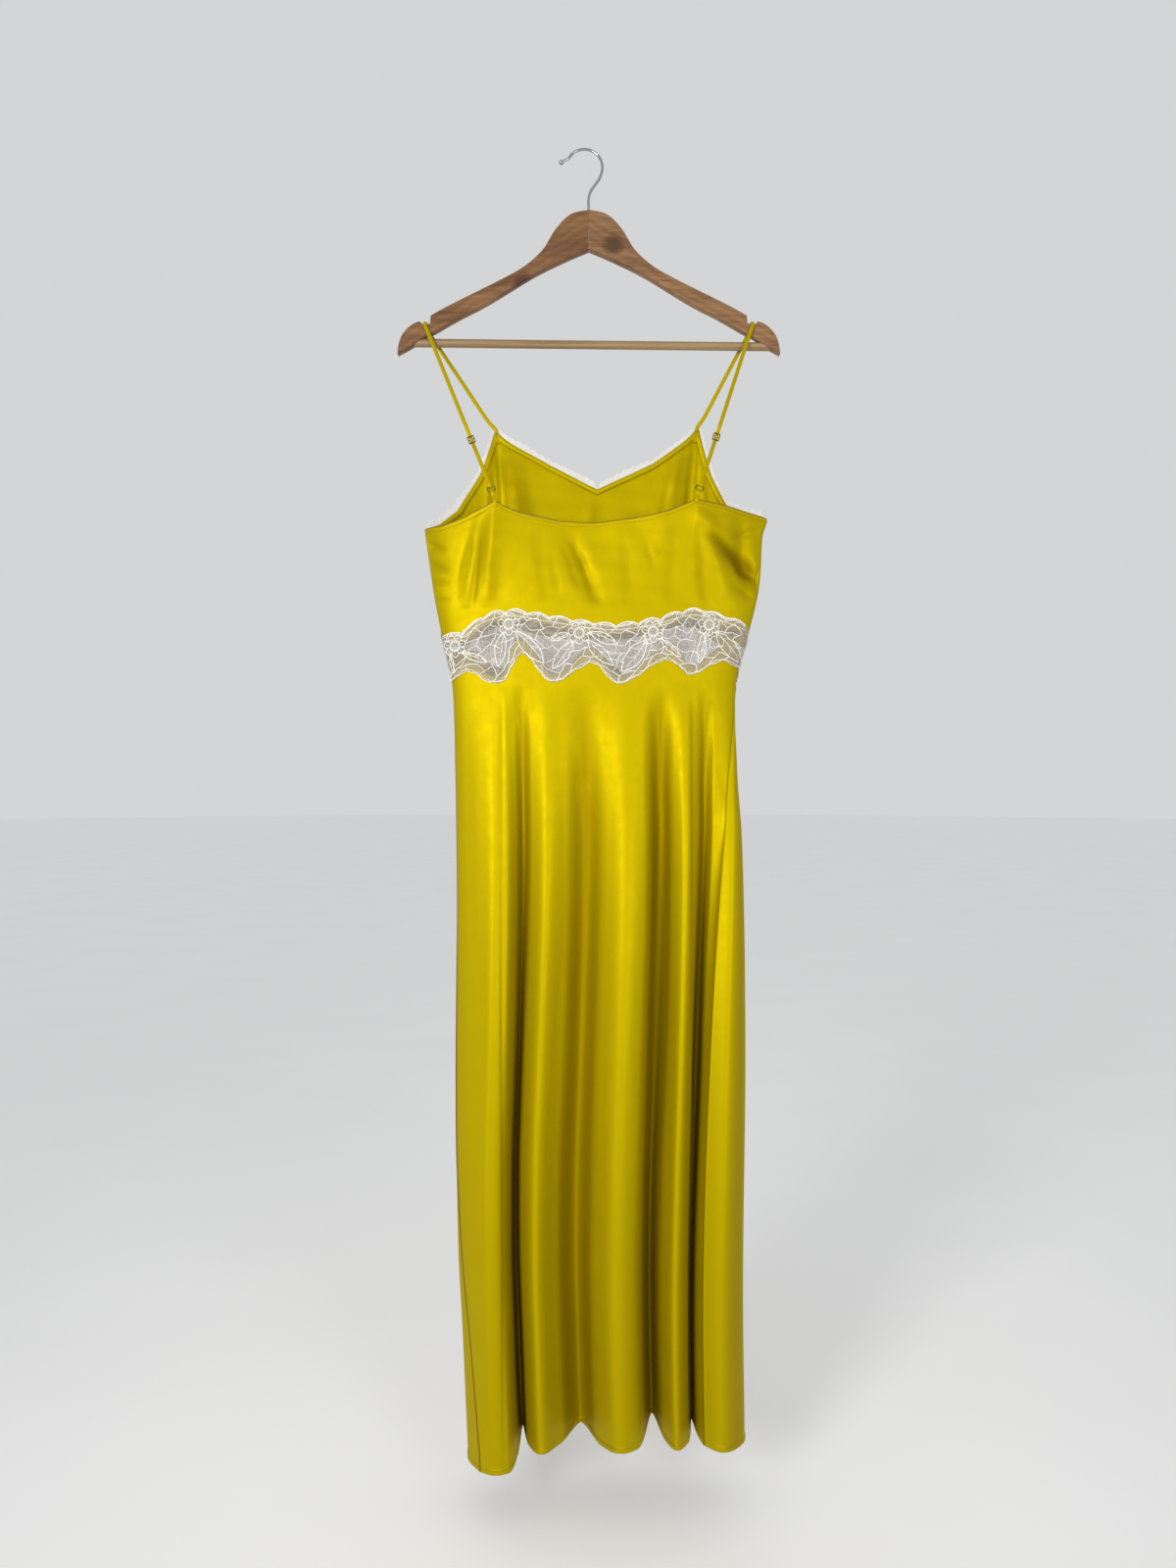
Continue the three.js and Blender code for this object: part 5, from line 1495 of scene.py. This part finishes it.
# Settings
class SlipSatinSettings(bpy.types.PropertyGroup):
    wall: FloatProperty(name="Cloth", description="Thickness of the satin", default=0.0005, min=0.0002,
                        max=0.0012, subtype="DISTANCE", unit="LENGTH")
    colour: FloatVectorProperty(name="Colour", description="Colour of the satin and its straps", size=3,
                                default=(0.42, 0.322, 0.001), min=0, max=1, subtype="COLOR")
    roughness: FloatProperty(name="Roughness", description="How dull the satin is", default=0.5, min=0.05,
                             max=1, subtype="FACTOR")
    pucker: FloatProperty(name="Puckers", description="Strength of the fine puckers in the satin",
                          default=0.12, min=0, max=1, subtype="FACTOR")


class SlipLaceSettings(bpy.types.PropertyGroup):
    cord: FloatProperty(name="Cord", description="Width of the lace's plain cords", default=0.00095,
                        min=0.0004, max=0.003, subtype="DISTANCE", unit="LENGTH")
    cell: FloatProperty(name="Cells", description="Width of the cells between the cords", default=0.0086,
                        min=0.005, max=0.02, subtype="DISTANCE", unit="LENGTH")
    net_pitch: FloatProperty(name="Net", description="Width of one mesh of the net", default=0.0016,
                             min=0.0008, max=0.004, subtype="DISTANCE", unit="LENGTH")
    net_thread: FloatProperty(name="Thread", description="Share of a mesh that its thread fills",
                              default=0.16, min=0.02, max=0.5, subtype="FACTOR")
    seed: IntProperty(name="Seed", description="Number that sets the irregular cells", default=11, min=0)


class SlipHangerSettings(bpy.types.PropertyGroup):
    arm_round: FloatProperty(name="Rounding", description="Radius of the arms' long edges", default=0.0035,
                             min=0.001, max=0.005, subtype="DISTANCE", unit="LENGTH")


class SlipStageSettings(bpy.types.PropertyGroup):
    floor: FloatProperty(name="Floor", description="Width of the pale floor", default=60, min=2,
                         subtype="DISTANCE", unit="LENGTH")
    tone: FloatVectorProperty(name="Tone", description="Colour of the surroundings", size=3,
                              default=(0.66, 0.665, 0.67), min=0, max=1, subtype="COLOR")
    key: FloatProperty(name="Key light", description="Power of the large soft light, in watts", default=5.7,
                       min=0, subtype="POWER")
    fill: FloatProperty(name="Fill light", description="Power of the second soft light, in watts",
                        default=2.2, min=0, subtype="POWER")
    world: FloatProperty(name="Surroundings", description="Strength of the even light all round", default=1.0,
                         min=0, max=3)


class SLIP_OT_bodice(bpy.types.Operator):
    """Make the satin bodice, back and front"""

    bl_idname = "slip.bodice"
    bl_label = "Bodice"

    def execute(self, context):
        back, front = (bodice_panel(which, context.scene.slip_satin) for which in ("back", "front"))
        finish_piece(back, "satin", "yellow satin", "bodice_back")
        finish_piece(front, "satin", "yellow satin", "bodice_front")
        return {"FINISHED"}


class SLIP_OT_skirt(bpy.types.Operator):
    """Make the satin skirt, back and front"""

    bl_idname = "slip.skirt"
    bl_label = "Skirt"

    def execute(self, context):
        for which, area in (("back", 0.435), ("front", 0.405)):
            piece = skirt_panel(which, context.scene.slip_satin)
            finish_piece(piece, "satin", "yellow satin", f"skirt_{which}")
        return {"FINISHED"}


class SLIP_OT_stitches(bpy.types.Operator):
    """Sew the rows of stitches at the hem and the back's neck"""

    bl_idname = "slip.stitches"
    bl_label = "Stitches"

    def execute(self, context):
        for piece in (hem_stitches("back"), hem_stitches("front"), neck_stitches()):
            finish_piece(piece, "satin", "yellow thread")
        return {"FINISHED"}


class SLIP_OT_waist_lace(bpy.types.Operator):
    """Make the lace waist: net and cords, back and front"""

    bl_idname = "slip.waist_lace"
    bl_label = "Lace waist"

    def execute(self, context):
        for which in ("back", "front"):
            front = which == "front"
            net = waist_net(which, front)
            finish_piece(net, "lace", "lace net", f"lace_waist_{which}")
            cords = tubes(f"cords_waist_{which}", waist_cords(front, context.scene.slip_lace), 6)
            finish_piece(cords, "lace", "ivory lace cord", f"lace_waist_{which}")
        return {"FINISHED"}


class SLIP_OT_neck_and_arms(bpy.types.Operator):
    """Edge the front's neck and armholes: facing inside, narrow lace outside"""

    bl_idname = "slip.neck_and_arms"
    bl_label = "Neck and armholes"

    def execute(self, context):
        for name in NECK_AND_ARMS:
            finish_piece(facing_piece(name), "satin", "yellow satin", "facing_" + name)
            finish_piece(facing_stitches(name), "satin", "yellow thread")
            net, cords, length = edge_lace(name, context.scene.slip_lace)
            finish_piece(net, "lace", "pale edge net", "lace_" + name)
            finish_piece(cords, "lace", "ivory lace cord", "lace_" + name)
        return {"FINISHED"}


class SLIP_OT_straps(bpy.types.Operator):
    """Make the two straps and the loops that hold their rings"""

    bl_idname = "slip.straps"
    bl_label = "Straps"

    def execute(self, context):
        for side in STRAPS:
            shoulder = Shoulder(side)
            strap = ribbon("satin_strap_" + side, shoulder.route(), STRAP_WIDTH, STRAP_WALL)
            finish_piece(strap, "satin", "yellow satin", "strap_" + side)
            loop = ribbon("satin_loop_" + side, shoulder.loop(), STRAP_WIDTH, STRAP_WALL, 0.8)
            finish_piece(loop, "satin", "yellow satin", "strap_loop_" + side)
        return {"FINISHED"}


class SLIP_OT_fittings(bpy.types.Operator):
    """Make the sliders and rings of the straps"""

    bl_idname = "slip.fittings"
    bl_label = "Sliders and rings"

    def execute(self, context):
        for side in STRAPS:
            finish_piece(slider_piece(side), "fittings_brass", "dark gold", "slider_" + side)
            finish_piece(ring_piece(side), "fittings_brass", "dark gold", "ring_" + side)
        return {"FINISHED"}


class SLIP_OT_hanger(bpy.types.Operator):
    """Make the wooden hanger: two arms, a rod and the wire hook"""

    bl_idname = "slip.hanger"
    bl_label = "Hanger"

    def execute(self, context):
        for side, word in ((-1, "left"), (1, "right")):
            arm = hanger_arm(side, context.scene.slip_hanger)
            finish_piece(arm, "arm_wood", word + " arm wood", "hanger_arm_" + word)
        finish_piece(hanger_bar(), "bar_wood", "pale bar wood", "hanger_bar")
        finish_piece(hanger_hook(), "hook_chrome", "bright wire", "hanger_hook")
        return {"FINISHED"}


# Stage, in metres: the camera's place, sensor and lens, and each soft light's place, aim and colour
CAMERA_PLACE = (-0.0009, -1.364, -0.7326)
CAMERA_SENSOR, CAMERA_LENS = 36, 27.05
FLOOR_DROP = 0.06
LIGHT_SIZE, LIGHT_SPREAD = 0.8, math.radians(70)
LIGHTS = {
    "key": ((-1.1, -2.0, -0.35), (0, 0, -0.85), (1, 0.985, 0.96)),
    "fill": ((1.0, -2.0, -0.8), (0, 0, -0.9), (0.97, 0.985, 1)),
}


def soft_light(name, place, aim, colour, power):
    light = bpy.data.lights.new(name, "AREA")
    light.spread = LIGHT_SPREAD
    light.shape, light.size, light.energy, light.color = "DISK", LIGHT_SIZE, power, colour
    lamp = bpy.data.objects.new(name, light)
    lamp.location = place
    lamp.rotation_euler = (Vector(aim) - Vector(place)).to_track_quat("-Z", "Y").to_euler()
    bpy.context.collection.objects.link(lamp)


class SLIP_OT_stage(bpy.types.Operator):
    """Set the camera, the pale floor, the lights and the surroundings"""

    bl_idname = "slip.stage"
    bl_label = "Camera, floor and lights"

    def execute(self, context):
        settings = context.scene.slip_stage
        camera = bpy.data.objects.new("camera", bpy.data.cameras.new("camera"))
        camera.location = CAMERA_PLACE
        camera.rotation_euler = (math.pi / 2, 0, 0)
        camera.data.sensor_width, camera.data.lens = CAMERA_SENSOR, CAMERA_LENS
        camera.data.clip_start, camera.data.clip_end = 0.05, 60
        context.collection.objects.link(camera)
        context.scene.camera = camera

        begin()
        bpy.ops.mesh.primitive_circle_add(vertices=96, radius=settings.floor / 2, fill_type="NGON",
                                          location=(0, 0, CAD_BOX[0][2] - FLOOR_DROP))
        floor = named("stage_floor")
        made = Nodes("pale floor")
        tone = made.ramp(made.noise(made.place(), 3, 2, 0.5), (0.3, 0.94), (0.7, 0.96))
        made.set(base_color=tone, roughness=0.95, specular_ior_level=0.05)
        floor.data.materials.append(made.material)

        world = bpy.data.worlds.new("pale surroundings")
        world.use_nodes = True
        sky = world.node_tree.nodes["Background"]
        sky.inputs["Color"].default_value = (*settings.tone, 1)
        sky.inputs["Strength"].default_value = settings.world
        context.scene.world = world
        for name, look in LIGHTS.items():
            soft_light(name + " light", *look, getattr(settings, name))
        context.scene.view_settings.view_transform = "Standard"
        return {"FINISHED"}


class SLIP_PT_pieces(bpy.types.Panel):
    """The dress's pieces and their sizes"""

    bl_idname = "SLIP_PT_pieces"
    bl_label = "Slip dress"
    bl_space_type = "VIEW_3D"
    bl_region_type = "UI"
    bl_category = "Slip dress"

    def draw(self, context):
        for operator in OPERATORS:
            self.layout.operator(operator.bl_idname)
        for name, kind in SETTINGS.items():
            box = self.layout.box()
            for key in kind.__annotations__:
                box.prop(getattr(context.scene, name), key)


OPERATORS = (SLIP_OT_stage, SLIP_OT_bodice, SLIP_OT_skirt, SLIP_OT_stitches, SLIP_OT_waist_lace,
             SLIP_OT_neck_and_arms, SLIP_OT_straps, SLIP_OT_fittings, SLIP_OT_hanger)
SETTINGS = {"slip_satin": SlipSatinSettings, "slip_lace": SlipLaceSettings, "slip_hanger": SlipHangerSettings,
            "slip_stage": SlipStageSettings}


def register():
    for kind in (*SETTINGS.values(), *OPERATORS, SLIP_PT_pieces):
        bpy.utils.register_class(kind)
    for name, kind in SETTINGS.items():
        setattr(bpy.types.Scene, name, PointerProperty(type=kind))


def unregister():
    for name in SETTINGS:
        delattr(bpy.types.Scene, name)
    for kind in (SLIP_PT_pieces, *reversed(OPERATORS), *reversed(SETTINGS.values())):
        bpy.utils.unregister_class(kind)


def main():
    register()
    for operator in OPERATORS:
        family, name = operator.bl_idname.split(".")
        getattr(getattr(bpy.ops, family), name)()


if __name__ == "__main__":
    main()
